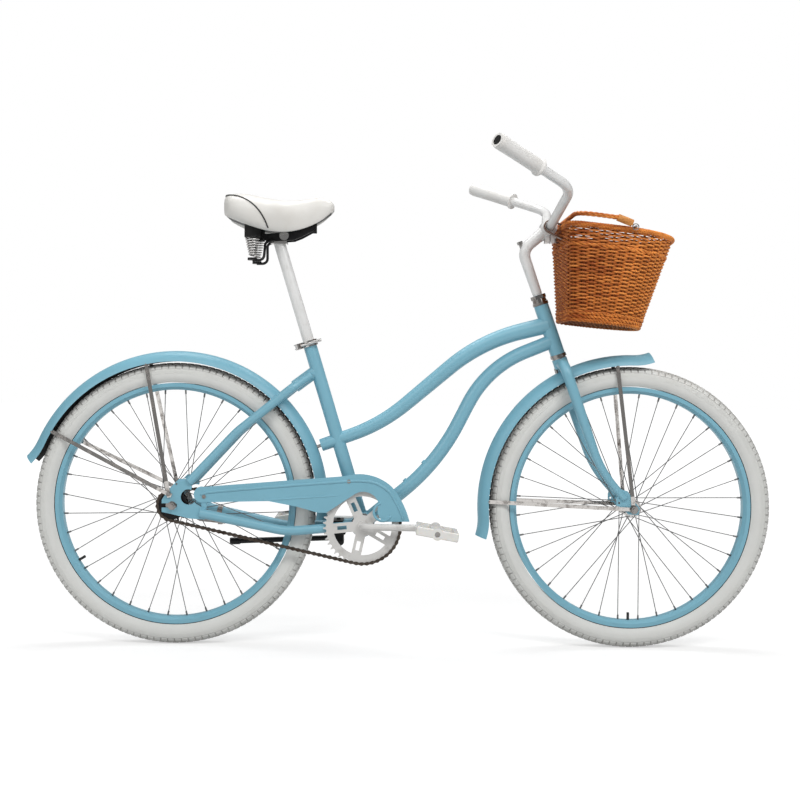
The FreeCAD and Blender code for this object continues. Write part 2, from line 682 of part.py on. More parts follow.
# Quill stem with its expander bolt and wedge, and the split clamp round the handlebar
quill_foot = head_top - steer_up * 58
stem_bend = head_top + steer_up * size.stem_rise
clamp = stem_bend + Vector(60.5, 0, 53.4)
quill = bar("quill", f"{steerer} - Sizes.steerer_wall - 0.05", "92", quill_foot, steer_up)
neck = swept("stem_neck", rounded_path([head_top + steer_up * 28, stem_bend, clamp], [34]), "11.6", "14.5")
barrel = bar("stem_barrel", "19", "44", clamp - ACROSS * 22, ACROSS)
ear = block("stem_ear", "22", "26", "20", Placement(clamp + Vector(-8, -13, -36), Rotation()))
bar_bore = bar("stem_bar_bore", "12.75", "60", clamp - ACROSS * 30, ACROSS)
stem_slit = block("stem_slit", "2.5", "60", "40", Placement(clamp + Vector(2, -30, -40), Rotation()))
binder_hole = bar("binder_hole", "3.1", "60", clamp + Vector(-30, 0, -27), FORWARD)
expander_hole = bar("expander_hole", "4.2", "260", quill_foot - steer_up * 1, steer_up)
stem_solid = fuse("stem_solid", quill, neck, barrel, ear)
keep("stem", cut("stem", stem_solid, bar_bore, stem_slit, binder_hole, expander_hole))
binder = bar("binder_shank", "3", "30", clamp + Vector(-12, 0, -27), FORWARD)
binder_head = hexagon("binder_head", "10", "5", clamp + Vector(-13.2, 0, -27), -FORWARD)
binder_nut = hexagon("binder_nut", "10", "5", clamp + Vector(14.2, 0, -27), FORWARD)
binder_bolt = fuse("binder_bolt", binder,
                   bar("binder_tail", "3", "6", clamp + Vector(-15, 0, -27), FORWARD),
                   binder_head, binder_nut)
expander_top = stem_bend + steer_up * 15
expander = bar("expander_shank", "4", "212", expander_top, -steer_up)
expander_head = hexagon("expander_head", "12", "7", expander_top, steer_up)
wedge = bar("stem_wedge", f"{steerer} - Sizes.steerer_wall - 0.05", "16",
            quill_foot - steer_up * 0.2, -steer_up)
expander_bolt = fuse("expander_bolt", expander, expander_head, wedge)
keep("stem_bolts", group("stem_bolts", binder_bolt, expander_bolt))

# Handlebar: straight middle, rising bends and swept-back ends with grips and end plugs
def bar_points(side):
    rise = Vector(24, side * 200, size.bar_rise)
    tip = Vector(-153, side * size.bar_half_width, size.bar_rise + 78)
    return clamp + Vector(0, side * 40, 0), clamp + rise, clamp + tip


right_shoulder, right_bend, right_tip = bar_points(-1)
left_shoulder, left_bend, left_tip = bar_points(1)
bar_path = rounded_path([right_tip, right_bend, right_shoulder, left_shoulder, left_bend, left_tip],
                        [72, 80, 80, 72])
bar_outside = swept("handlebar_outside", bar_path, "Sizes.bar_radius")
bar_inside = swept("handlebar_inside", bar_path, "Sizes.bar_radius - 1.8")
sleeve = bar("handlebar_sleeve", "12.7", "60", clamp - ACROSS * 30, ACROSS)
keep("handlebar", cut("handlebar", fuse("handlebar_body", bar_outside, sleeve), bar_inside))
grips = []
plugs = []
for word, bend, tip in (("right", right_bend, right_tip), ("left", left_bend, left_tip)):
    way = (tip - bend).normalize()
    start = tip - way * size.grip_length
    inside = "Sizes.bar_radius + 0.05"
    full = "Sizes.grip_length"
    grips.append(turned(f"grip_{word}", [
        (inside, "0"), ("Sizes.grip_radius + 3", "0"), ("Sizes.grip_radius + 3", "4"),
        ("Sizes.grip_radius - 0.5", "8"),
        ("Sizes.grip_radius - 0.8", f"{full} / 2"), ("Sizes.grip_radius", f"{full} - 6"),
        ("Sizes.grip_radius - 1.5", f"{full} + 3"), (inside, f"{full} + 3"),
    ], facing(start, way)))
    plugs.append(turned(f"plug_{word}", [
        ("0", "-14"), ("Sizes.bar_radius - 1.9", "-14"), ("Sizes.bar_radius - 1.9", "0.1"),
        ("Sizes.bar_radius - 0.2", "0.1"),
        ("Sizes.bar_radius - 0.2", "2.2"), ("0", "2.2"),
    ], facing(tip, way)))
keep("grips", group("grips", *grips))
keep("grip_plugs", group("grip_plugs", *plugs))


# Fenders: an arched sheet round the tyre that flares outward at its free ends
def fender_section(centre, angle):
    outward = Vector(math.cos(math.radians(angle)), 0, math.sin(math.radians(angle)))
    skirt = centre + outward * (fender_radius - size.fender_depth)
    crest = centre + outward * fender_radius
    wide = ACROSS * size.fender_half_width
    thin = ACROSS * (size.fender_half_width - size.fender_sheet)
    outer = Part.Arc(skirt - wide, crest, skirt + wide).toShape()
    inner = Part.Arc(skirt - thin, crest - outward * size.fender_sheet, skirt + thin).toShape()
    edges = [outer, Part.LineSegment(skirt + wide, skirt + thin).toShape(), inner,
             Part.LineSegment(skirt - thin, skirt - wide).toShape()]
    return Part.Face(Part.Wire(Part.__sortEdges__(edges))), outward


def fender(name, centre, first, last, front_flare, rear_flare):
    face, outward = fender_section(centre, first)
    sheet_body = face.revolve(centre, -ACROSS, last - first)
    for angle, flare, turn_axis in ((first, front_flare, -ACROSS), (last, rear_flare, ACROSS)):
        if flare:
            length, bend = flare
            end, outward = fender_section(centre, angle)
            pivot = centre + outward * (fender_radius + bend)
            sheet_body = sheet_body.fuse(end.revolve(pivot, turn_axis, math.degrees(length / bend)))
    return shaped(name, sheet_body)


rear_sheet = fender("rear_fender_sheet", rear_axle, -6, tail_angle, None, (tail_flare, tail_bend))
front_sheet = fender("front_fender_sheet", front_axle, 89, 184, (38, 100), (45, 120))


def stay_strip(name, foot, foot_side, angle, centre, side):
    """A flat stay: level on the frame plate, then leaning in to the inside of the fender's skirt."""
    outward = Vector(math.cos(math.radians(angle)), 0, math.sin(math.radians(angle)))
    end = centre + outward * (fender_radius - size.fender_depth + 3)
    way = Vector(end.x - foot.x, 0, end.z - foot.z)
    reach = way.Length
    way.normalize()
    edge_way = way.cross(ACROSS)
    end_side = size.fender_half_width - size.fender_sheet - 3.6
    line = [(-8, foot_side), (30, foot_side), (reach, end_side)]
    corners = [foot + way * along + ACROSS * side * out for along, out in line]
    corners += [foot + way * along + ACROSS * side * (out + stay_sheet) for along, out in reversed(line)]
    face = Part.Face(Part.makePolygon([corner - edge_way * 4.5 for corner in corners + corners[:1]]))
    return shaped(name, face.extrude(edge_way * 9))


screws = []
front_screws = []
rear_stays = []
front_stays = []
rear_eyelet = rear_axle + Vector(-8, 0, 27)
for side in (-1, 1):
    word = "right" if side < 0 else "left"
    rear_face = size.rear_hub_width / 2 + size.dropout_thickness + 0.2
    front_face = size.front_hub_width / 2 + size.dropout_thickness + 0.2
    eye = bar(f"rear_stay_eye_{word}", "2.6", "40", rear_eyelet + ACROSS * side * (rear_face - 10),
              ACROSS * side)
    front_eye = bar(f"front_stay_eye_{word}", "Sizes.axle_radius + 0.1", "40",
                    front_axle + ACROSS * side * 40,
                    ACROSS * side)
    for order, angle in enumerate((102, 150)):
        out = rear_face + order * (stay_sheet + 0.1)
        strip = stay_strip(f"rear_strip_{word}_{angle}", rear_eyelet, out, angle, rear_axle, side)
        rear_stays.append(cut(f"rear_stay_{word}_{angle}", strip, eye))
    for order, angle in enumerate((96, 178)):
        out = front_face + order * (stay_sheet + 0.1)
        strip = stay_strip(f"front_strip_{word}_{angle}", front_axle, out, angle, front_axle, side)
        front_stays.append(cut(f"front_stay_{word}_{angle}", strip, front_eye))
    shank_start = rear_eyelet + ACROSS * side * (size.rear_hub_width / 2 + 0.5)
    shank = bar(f"eyelet_shank_{word}", "2.5", "Sizes.dropout_thickness + 5", shank_start, ACROSS * side)
    head = bar(f"eyelet_head_{word}", "5", "3.5", rear_eyelet + ACROSS * side * (rear_face + 4.3),
               ACROSS * side)
    screws.append(fuse(f"eyelet_screw_{word}", shank, head))


def skirt_screw(name, centre, angle, side, length=5.5):
    """A rivet from the outside of the skirt into the stay's end."""
    outward = Vector(math.cos(math.radians(angle)), 0, math.sin(math.radians(angle)))
    edge = centre + outward * (fender_radius - size.fender_depth - 0.5)
    foot = edge + ACROSS * side * (size.fender_half_width + 2.2)
    return bar(name, "2.2", str(length), foot, -ACROSS * side)


for side in (-1, 1):
    word = "right" if side < 0 else "left"
    for angle in (102, 150):
        screws.append(skirt_screw(f"rear_rivet_{word}_{angle}", rear_axle, angle, side))
    for angle in (96, 178):
        front_screws.append(skirt_screw(f"front_rivet_{word}_{angle}", front_axle, angle, side))
keep("rear_fender_stays", group("rear_fender_stays", *rear_stays))
keep("front_fender_stays", group("front_fender_stays", *front_stays))
keep("rear_fender", rear_sheet)
keep("front_fender", front_sheet)


# Drive: toothed chainring and sprocket, roller chain, one-piece crank and platform pedals
def pitch_radius(teeth):
    return size.chain_pitch / (2 * math.sin(math.pi / teeth))


def toothed_disc(teeth, centre):
    """A sprocket blank: round seats for the rollers with straight flanks to narrow tips."""
    pitch = pitch_radius(teeth)
    seat_radius = 4.1
    tip_radius = pitch + 3.3
    step = 2 * math.pi / teeth
    edges = []

    def polar(radius, angle):
        return Vector(radius * math.cos(angle), 0, radius * math.sin(angle))

    for number in range(int(teeth)):
        angle = number * step
        roller = polar(pitch, angle)
        left = roller + polar(seat_radius, angle + math.pi - 1.05)
        low = roller + polar(seat_radius, angle + math.pi)
        right = roller + polar(seat_radius, angle + math.pi + 1.05)
        if left.getAngle(polar(1, angle - step)) < right.getAngle(polar(1, angle - step)):
            first, second = left, right
        else:
            first, second = right, left
        tip_start = polar(tip_radius, angle + step * 0.42)
        tip_end = polar(tip_radius, angle + step * 0.58)
        following = polar(pitch, angle + step)
        next_ends = [following + polar(seat_radius, angle + step + math.pi + turn)
                     for turn in (-1.05, 1.05)]
        next_first = min(next_ends, key=lambda point: point.getAngle(polar(1, angle)))
        edges.append(Part.Arc(first, low, second).toShape())
        edges.append(Part.LineSegment(second, tip_start).toShape())
        edges.append(Part.LineSegment(tip_start, tip_end).toShape())
        edges.append(Part.LineSegment(tip_end, next_first).toShape())
    face = Part.Face(Part.Wire(edges))
    disc = face.extrude(ACROSS * size.sprocket_thickness)
    disc.translate(centre - ACROSS * (size.sprocket_thickness / 2))
    return disc


chain_plane = -ACROSS * size.chain_line
ring_centre = bracket + chain_plane
cog_centre = rear_axle + chain_plane
ring_blank = shaped("chainring_blank", toothed_disc(size.chainring_teeth, ring_centre))
ring_inner = pitch_radius(size.chainring_teeth) - 20
half_ring = ring_centre + ACROSS * 10
window_outer = bar("ring_window_outer", f"{ring_inner}", "20", half_ring, -ACROSS)
window_hub = bar("ring_window_hub", "25", "20", half_ring, -ACROSS)
arms = []
slots = []
for number in range(5):
    turn = Rotation(ACROSS, -(42 + 72 * number))
    arm_corner = ring_centre + turn.multVec(Vector(0, -15, -11.5))
    arms.append(block(f"ring_arm_{number}", f"{ring_inner} + 4", "30", "23", Placement(arm_corner, turn)))
    slot_corner = ring_centre + turn.multVec(Vector(37, -15, -4.5))
    slots.append(block(f"ring_slot_{number}", "22", "30", "9", Placement(slot_corner, turn)))
windows = cut("ring_windows", window_outer, window_hub, *arms)
ring_bore = bar("ring_bore", "11.05", "20", half_ring, -ACROSS)
keep("chainring", cut("chainring", ring_blank, windows, fuse("ring_slots", *slots), ring_bore))

cog_blank = shaped("sprocket_blank", toothed_disc(size.sprocket_teeth, cog_centre))
cog_driver = bar("sprocket_driver", "23", "5.4", cog_centre + ACROSS * 1.4, ACROSS)
cog_bore = bar("sprocket_bore", "16", "40", cog_centre - ACROSS * 20, ACROSS)
keep("rear_sprocket", cut("rear_sprocket", fuse("sprocket_body", cog_blank, cog_driver), cog_bore))

# Chain: pins evenly spaced round both sprockets, inner and outer links in turn
ring_pitch = pitch_radius(size.chainring_teeth)
cog_pitch = pitch_radius(size.sprocket_teeth)
span = bracket - rear_axle
tilt = math.asin((ring_pitch - cog_pitch) / span.Length)
heading = math.atan2(span.z, span.x)
straight = span.Length * math.cos(tilt)
ring_wrap = ring_pitch * (math.pi + 2 * tilt)
cog_wrap = cog_pitch * (math.pi - 2 * tilt)
loop = 2 * straight + ring_wrap + cog_wrap
link_count = 2 * round(loop / (2 * size.chain_pitch))
spacing = loop / link_count


def around(centre, radius, angle):
    return centre + Vector(radius * math.cos(angle), 0, radius * math.sin(angle))


top_normal = heading + math.pi / 2 + tilt
low_normal = heading - math.pi / 2 - tilt


def chain_point(travel):
    """A pin's place, and how far it is from a toothed wheel's contact along the loop."""
    travel = travel % loop
    if travel < straight:
        start = around(cog_centre, cog_pitch, top_normal)
        end = around(ring_centre, ring_pitch, top_normal)
        return start + (end - start) * (travel / straight), (travel, straight - travel)
    travel -= straight
    if travel < ring_wrap:
        return around(ring_centre, ring_pitch, top_normal - travel / ring_pitch), (0, 0)
    travel -= ring_wrap
    if travel < straight:
        start = around(ring_centre, ring_pitch, low_normal)
        end = around(cog_centre, cog_pitch, low_normal)
        return start + (end - start) * (travel / straight), (straight - travel, travel)
    travel -= straight
    return around(cog_centre, cog_pitch, low_normal - travel / cog_pitch), (0, 0)


def link_plate(start, end, near, far):
    """A flat plate with round ends between two pins, from one depth to another along Y."""
    way = (end - start).normalize()
    side = way.cross(ACROSS) * 4.1
    edges = [
        Part.LineSegment(start + side, end + side).toShape(),
        Part.Arc(end + side, end + way * 4.1, end - side).toShape(),
        Part.LineSegment(end - side, start - side).toShape(),
        Part.Arc(start - side, start - way * 4.1, start + side).toShape(),
    ]
    face = Part.Face(Part.Wire(edges))
    face.translate(ACROSS * near)
    return face.extrude(ACROSS * (far - near))


links = []
pins = [chain_point(number * spacing + 3) for number in range(link_count)]
for number in range(link_count):
    start, start_room = pins[number]
    end, end_room = pins[(number + 1) % link_count]
    free = all(room[0] > 28 and room[1] > 42 for room in (start_room, end_room))
    outer_link = number % 2 == 1
    near, far = (3.05, 4.05) if outer_link else (1.95, 2.95)
    both = [link_plate(start, end, near, far), link_plate(start, end, -far, -near)]
    if outer_link:
        for centre in (start, end):
            for index, side in enumerate((1, -1)):
                rivet = Part.makeCylinder(1.8, 1.0, centre + ACROSS * side * 3.8, ACROSS * side)
                both[index] = both[index].fuse(rivet)
    if free and outer_link:
        joined = both[0].fuse(both[1])
        for centre in (start, end):
            joined = joined.fuse(Part.makeCylinder(1.7, 7.0, centre - ACROSS * 3.5, ACROSS))
        links.append(joined)
    elif free:
        joined = both[0].fuse(both[1])
        for centre in (start, end):
            joined = joined.fuse(Part.makeCylinder(3.9, 4.4, centre - ACROSS * 2.2, ACROSS))
        for centre in (start, end):
            joined = joined.cut(Part.makeCylinder(1.75, 8.0, centre - ACROSS * 4, ACROSS))
        links.append(joined)
    else:
        if not outer_link:
            for centre in (start, end):
                for index in range(2):
                    both[index] = both[index].cut(Part.makeCylinder(1.75, 8.0, centre - ACROSS * 4, ACROSS))
        links += both
keep("chain", shaped("chain", Part.makeCompound(links)))

# One-piece crank: right arm forward, left arm back
def pedal_block(name, length, width, height, ahead, pose):
    """A block centred in the pedal, or a step ahead of its centre."""
    corner = Vector(ahead - value_of(length) / 2, -value_of(width) / 2, -value_of(height) / 2)
    return block(name, length, width, height, pose.multiply(Placement(corner, Rotation())))


reach = size.crank_length
arm_tip = 80
arm_root = 70
crank_route = [bracket + Vector(reach, -arm_tip, 0), bracket + Vector(0, -arm_root, 0),
               bracket + Vector(0, arm_root, 0), bracket + Vector(-reach, arm_tip, 0)]
crank_bar = swept("crank_bar", rounded_path(crank_route, [18, 18]), "Sizes.crank_radius")
spindle = bar("crank_spindle", "11", "116", bracket - ACROSS * 58, ACROSS)
eyes = []
pedal_spindles = []
for side, way in ((-1, 1), (1, -1)):
    word = "right" if side < 0 else "left"
    eye_centre = bracket + Vector(way * reach, side * arm_tip, 0)
    eyes.append(bar(f"crank_eye_{word}", "13", "18", eye_centre - ACROSS * side * 9, ACROSS * side))
    flange = bar(f"pedal_flange_{word}", "9", "3", eye_centre + ACROSS * side * 9.1, ACROSS * side)
    shank = bar(f"pedal_shank_{word}", "5.9", "Sizes.pedal_width + 2",
                eye_centre + ACROSS * side * 11, ACROSS * side)
    pedal_spindles.append(fuse(f"pedal_spindle_{word}", flange, shank))
    centre = eye_centre + ACROSS * side * (13.5 + size.pedal_width / 2)
    turn = Rotation(ACROSS, 10 * way)
    pose = Placement(centre, turn)
    blank = pedal_block(f"pedal_blank_{word}", "Sizes.pedal_length", "Sizes.pedal_width",
                        "Sizes.pedal_height", 0, pose)
    rounded = doc.addObject("Part::Fillet", f"pedal_rounded_{word}")
    rounded.Base = blank
    rounded.Edges = [(edge, 3.0, 3.0) for edge in range(1, 13)]
    barrel = bar(f"pedal_barrel_{word}", "Sizes.pedal_barrel", "Sizes.pedal_width",
                 centre - ACROSS * (size.pedal_width / 2), ACROSS)
    windows = [pedal_block(f"pedal_window_{word}_{end}", "22", "Sizes.pedal_width - 22", "60",
                           end * 26, pose)
               for end in (-1, 1)]
    bore = bar(f"pedal_bore_{word}", "5.9 + Sizes.running_gap", "Sizes.pedal_width + 40",
               centre - ACROSS * (size.pedal_width / 2 + 20), ACROSS)
    keep(f"{word}_pedal", cut(f"{word}_pedal", fuse(f"pedal_body_{word}", rounded, barrel), *windows, bore))
keep("crank", fuse("crank", crank_bar, spindle, *eyes))
keep("pedal_spindles", group("pedal_spindles", *pedal_spindles))

# Chain guard: a pressed sheet over the top run, round over the chainring, on a tab and a front strap
guard_face_y = -(size.chain_line + 9)
guard_sheet = 1.5


def guard_point(from_bracket, x, z):
    base = bracket if from_bracket else rear_axle
    return Vector(base.x + x, guard_face_y, base.z + z)


rear_top = guard_point(False, 74, 44)
rear_nose = guard_point(False, 50, 26)
rear_low = guard_point(False, 74, 8)
top_run = guard_point(True, -40, 117)
crest = guard_point(True, 37, 113)
front_high = guard_point(True, 68, 93)
front_mid = guard_point(True, 98, 46)
front_tip = guard_point(True, 110, 12)
front_foot = guard_point(True, 50, 11)
hook = guard_point(True, 36, 30)
hook_top = guard_point(True, 38, 52)
arch_front = guard_point(True, 22, 75)
arch_back = guard_point(True, -20, 74)
valley = guard_point(True, -56, 50)
belly_front = guard_point(True, -84, 31)
belly_back = guard_point(True, -104, 31)
lower_knee = guard_point(True, -150, 44)
lower_run = guard_point(False, 224, 12)
guard_edges = [
    Part.LineSegment(rear_top, top_run).toShape(),
    Part.Arc(top_run, crest, front_high).toShape(),
    Part.Arc(front_high, front_mid, front_tip).toShape(),
    Part.LineSegment(front_tip, front_foot).toShape(),
    Part.Arc(front_foot, hook, hook_top).toShape(),
    Part.Arc(hook_top, arch_front, arch_back).toShape(),
    Part.LineSegment(arch_back, valley).toShape(),
    Part.LineSegment(valley, belly_front).toShape(),
    Part.LineSegment(belly_front, belly_back).toShape(),
    Part.LineSegment(belly_back, lower_knee).toShape(),
    Part.LineSegment(lower_knee, lower_run).toShape(),
    Part.LineSegment(lower_run, rear_low).toShape(),
    Part.Arc(rear_low, rear_nose, rear_top).toShape(),
]
guard_plate = shaped("guard_plate", Part.Face(Part.Wire(guard_edges)).extrude(-ACROSS * guard_sheet))
tab_corner = rear_axle + Vector(68, guard_face_y + 0.3, -8)
guard_tab = block("guard_tab", "12", "1.8", "36", Placement(tab_corner, Rotation()))
strap_middle = bracket + seat_up * 110
strap_corner = Vector(strap_middle.x - 6, guard_face_y + 0.3, strap_middle.z - 3)
guard_strap = block("guard_strap", "12", f"{-guard_face_y - 0.3 - 6}", "5",
                    Placement(strap_corner, Rotation()))
right_stay_core = chainstays[0]
guard_brackets = [cut("guard_tab_cut", guard_tab, right_stay_core, dropouts[0]),
                  cut("guard_strap_cut", guard_strap, seat_core)]
screw_places = [rear_axle + Vector(74, guard_face_y - guard_sheet, 21),
                Vector(strap_middle.x, guard_face_y - guard_sheet, strap_middle.z - 0.5)]
keep("chain_guard", group("chain_guard", guard_plate, *guard_brackets))
for number, place in enumerate(screw_places, start=1):
    screws.append(bar(f"guard_screw_{number}", "4.5", "2.2", place - ACROSS * 0.05, -ACROSS))

# Coaster brake arm on the far side, with its clip round the chain stay
arm_middle = rear_axle + ACROSS * 48.5
arm_plate = plate("brake_arm_plate", [
    ("-6", "-20"), ("16", "-14"), ("52", "-36"), ("110", "-44"), ("110", "-56"), ("48", "-50"),
], "3", Placement(arm_middle, Rotation(FORWARD, 90)))
arm_boss = bar("brake_arm_boss", "25", "3", arm_middle - ACROSS * 1.5, ACROSS)
arm_bore = bar("brake_arm_bore", "15.75", "20", arm_middle - ACROSS * 10, ACROSS)
brake_lever = cut("brake_lever", fuse("brake_arm_body", arm_boss, arm_plate), arm_bore)

# Kickstand: clamp plates round the chain stays, a tilted pivot and the leg folded back
stand_x = size.chainstay_run - 58
stand_low = size.tyre_radius - size.bb_drop - 16
fold_way = Vector(-0.9975, 0.05, -0.05).normalize()
down_way = Vector(0.12, 0.42, -0.90).normalize()
pivot_axis = fold_way.cross(down_way).normalize()
pivot_out = -pivot_axis
pivot = at(stand_x, size.tyre_radius - size.bb_drop - 42, 50)
low_plate = block("stand_plate", "36", "84", "6",
                  Placement(at(stand_x - 18, stand_low - 6, -40), Rotation()))
top_plate = block("stand_top_plate", "24", "60", "5",
                  Placement(at(stand_x - 12, stand_low + 20, -30), Rotation()))
stand_bolt = bar("stand_bolt", "5", "38", at(stand_x, stand_low - 10), UP)
cheek = bar("stand_cheek", "13", "10", pivot - pivot_out * 7.4, -pivot_out)
pin = bar("stand_pin", "4.5", "24", pivot - pivot_out * 12, pivot_out)
pin_head = bar("stand_pin_head", "8", "4", pivot + pivot_out * 7.4, pivot_out)
web = block("stand_web", "22", "12", "26", Placement(at(stand_x - 11, stand_low - 32, 24), Rotation()))
stand_solid = fuse("stand_solid", low_plate, top_plate, stand_bolt, cheek, pin, pin_head, web)
keep("kickstand_bracket", cut("kickstand_bracket", stand_solid, *chainstays))
stand_eye = bar("stand_eye", "12", "14", pivot - pivot_out * 7, pivot_out)
stand_leg = bar("stand_leg", "Sizes.kickstand_radius", "Sizes.kickstand_length - 7",
                pivot + fold_way * 7, fold_way)
stand_foot = bar("stand_foot", "Sizes.kickstand_radius + 2", "24",
                 pivot + fold_way * (size.kickstand_length - 20),
                 fold_way)
stand_hole = bar("stand_hole", "4.5 + Sizes.running_gap", "40", pivot - pivot_out * 20, pivot_out)
keep("kickstand", cut("kickstand", fuse("kickstand_body", stand_eye, stand_leg, stand_foot), stand_hole))

# The clip round the left chain stay that holds the end of the brake arm
left_low = [at(64, size.tyre_radius - 17, plate_middle),
            at(size.tyre_radius * 0.80, size.tyre_radius - 60, 45)]
clip_way = (left_low[1] - left_low[0]).normalize()
clip_centre = left_low[0] + clip_way * 34
clip_band = bar("clip_band", "Sizes.chainstay_radius + 1.8", "12", clip_centre - clip_way * 6, clip_way)
clip_inner = bar("clip_inner", "Sizes.chainstay_radius + 0.05", "40", clip_centre - clip_way * 20, clip_way)
clip_tab_corner = Vector(clip_centre.x - 6, arm_middle.y + 1.7, clip_centre.z - 34)
clip_tab = block("clip_tab", "12", "2", "28", Placement(clip_tab_corner, Rotation()))
clip_head_place = Vector(clip_centre.x, arm_middle.y + 3.8, rear_axle.z - 48)
clip_head = hexagon("clip_head", "9", "4", clip_head_place, ACROSS)
clip = cut("brake_clip", fuse("clip_body", clip_band, clip_tab, clip_head), clip_inner)
keep("brake_arm", group("brake_arm", brake_lever, clip))

# Seat post with the clamp on its top
post_start = size.seat_tube_length - 90
post_length = "Sizes.seat_post_rise + 90"
post_outside = bar("post_outside", "Sizes.seat_post_radius", post_length,
                   bracket + seat_up * post_start, seat_up)
post_inside = bar("post_inside", "Sizes.seat_post_radius - 2", "Sizes.seat_post_rise + 70",
                  bracket + seat_up * post_start, seat_up)
keep("seat_post", cut("seat_post", post_outside, post_inside))
post_top = seat_top + seat_up * size.seat_post_rise
saddle_rear = post_top.x - 124
saddle_top = post_top.z + 103


# Saddle: each station gives its share of the length and of the half width, and its top and bottom heights
STATIONS = [
    (0.00, 0.62, -2, -50), (0.06, 0.88, 4, -59), (0.22, 1.00, 4, -76), (0.40, 0.86, -4, -88),
    (0.56, 0.56, -7, -88), (0.72, 0.36, -4, -78), (0.88, 0.28, 1, -58), (0.97, 0.22, -7, -38),
    (1.00, 0.14, -16, -30),
]


def cushion_section(share, width, top, bottom):
    """The padded cover across: drawn-in skirts, full sides, a crown, and a recess below for the pan."""
    x = saddle_rear + share * size.saddle_length
    half = width * size.saddle_half_width
    high = saddle_top + top
    low = saddle_top + bottom
    tall = high - low
    recess = low + 0.2 * tall
    shoulder = high - 0.2 * tall
    left = [Vector(x, 0.86 * half, low), Vector(x, half, low + 0.42 * tall),
            Vector(x, 0.80 * half, shoulder)]
    right = [Vector(x, -point.y, point.z) for point in left]
    crown = Vector(x, 0, high)
    edges = [
        Part.Arc(left[0], left[1], left[2]).toShape(),
        Part.Arc(left[2], crown, right[2]).toShape(),
        Part.Arc(right[2], right[1], right[0]).toShape(),
        Part.LineSegment(right[0], Vector(x, -0.68 * half, recess)).toShape(),
        Part.LineSegment(Vector(x, -0.68 * half, recess), Vector(x, 0.68 * half, recess)).toShape(),
        Part.LineSegment(Vector(x, 0.68 * half, recess), left[0]).toShape(),
    ]
    return Part.Wire(edges)


def pan_section(share, width, top, bottom):
    x = saddle_rear + share * size.saddle_length
    half = 0.64 * width * size.saddle_half_width
    recess = saddle_top + bottom + 0.2 * (top - bottom)
    corners = [Vector(x, -half, recess - 0.4), Vector(x, half, recess - 0.4),
               Vector(x, half, recess - 5), Vector(x, -half, recess - 5)]
    return Part.makePolygon(corners + corners[:1])


cover = Part.makeLoft([cushion_section(*station) for station in STATIONS], True, False)
pan = Part.makeLoft([pan_section(*station) for station in STATIONS[:-1]], True, False)
keep("saddle_cover", shaped("saddle_cover", cover.cut(pan)))


def recess_height(share):
    """Underside of the pan at a share of the saddle's length, between the stations."""
    for first, second in zip(STATIONS, STATIONS[1:]):
        if first[0] <= share <= second[0]:
            part = (share - first[0]) / (second[0] - first[0])
            top = first[2] + part * (second[2] - first[2])
            bottom = first[3] + part * (second[3] - first[3])
            return saddle_top + bottom + 0.2 * (top - bottom) - 5
    return saddle_top


# Undercarriage: hinge pin at the nose, two side plates, clamp bolt, rails down to the springs
hinge_share = 0.80
spring_share = 0.26
hinge = Vector(saddle_rear + hinge_share * size.saddle_length, 0, recess_height(hinge_share) - 12)
clamp_bolt_place = post_top + Vector(14, 0, 12)
spring_x = saddle_rear + spring_share * size.saddle_length
spring_side = 50
spring_top = recess_height(spring_share) - 30
spring_low = spring_top - size.spring_height
side_plates = []
bolt_x = clamp_bolt_place.x
bolt_z = clamp_bolt_place.z
plate_outline = [
    (hinge.x + 8, hinge.z + 6), (hinge.x + 8, hinge.z), (hinge.x + 2, hinge.z - 7),
    (bolt_x + 40, bolt_z - 3),
    (bolt_x + 22, bolt_z - 10), (bolt_x - 20, bolt_z - 13), (bolt_x - 46, bolt_z - 11),
    (bolt_x - 52, bolt_z - 4),
    (bolt_x - 50, bolt_z + 4), (bolt_x, bolt_z + 8),
]
for side in (-1, 1):
    corners = [Vector(x, side * 20 - 1.5, z) for x, z in plate_outline]
    face = Part.Face(Part.makePolygon(corners + corners[:1]))
    word = "right" if side < 0 else "left"
    side_plates.append(shaped(f"side_plate_{word}", face.extrude(ACROSS * 3)))
hinge_pin = bar("saddle_hinge_pin", "4", "46", hinge - ACROSS * 23, ACROSS)
clamp_shank = bar("saddle_clamp_shank", "4", "52", clamp_bolt_place - ACROSS * 26, ACROSS)
clamp_nuts = [bar(f"saddle_clamp_nut_{index}", "11", "5", clamp_bolt_place + ACROSS * side * 22,
                  ACROSS * side)
              for index, side in enumerate((-1, 1))]
clamp_block = block("saddle_clamp_block", "38", "36", "26",
                    Placement(post_top + Vector(-18, -18, -6), Rotation()))
block_bore = bar("saddle_clamp_bore", "Sizes.seat_post_radius", "20", post_top - seat_up * 20, seat_up)
bolt_bore = bar("saddle_clamp_bolt_bore", "4", "80", clamp_bolt_place - ACROSS * 40, ACROSS)
clamp_body = cut("saddle_clamp_body", clamp_block, block_bore, bolt_bore)
clamp_bolts = fuse("saddle_clamp_bolt", clamp_shank, *clamp_nuts)
keep("saddle_clamp", group("saddle_clamp", clamp_body, clamp_bolts))
frame_plates = fuse("saddle_side_plates", *side_plates, hinge_pin)
rails = []
for side in (-1, 1):
    word = "right" if side < 0 else "left"
    route = [Vector(post_top.x - 10, side * 23.5, post_top.z + 2),
             Vector(post_top.x - 30, side * 25, post_top.z - 4),
             Vector(spring_x + 26, side * (spring_side - 4), spring_low - 8),
             Vector(spring_x, side * spring_side, spring_low - 8)]
    wire = swept(f"rail_wire_{word}", rounded_path(route, [10, 14]), "3.2")
    seat_cup = bar(f"rail_cup_{word}", "11", "6",
                   Vector(spring_x, side * spring_side, spring_low - 8.5), UP)
    rails.append(fuse(f"rail_{word}", wire, seat_cup))
frame_bore = bar("saddle_frame_bore", "4", "80", clamp_bolt_place - ACROSS * 40, ACROSS)
saddle_plates = cut("saddle_plates", frame_plates, frame_bore)
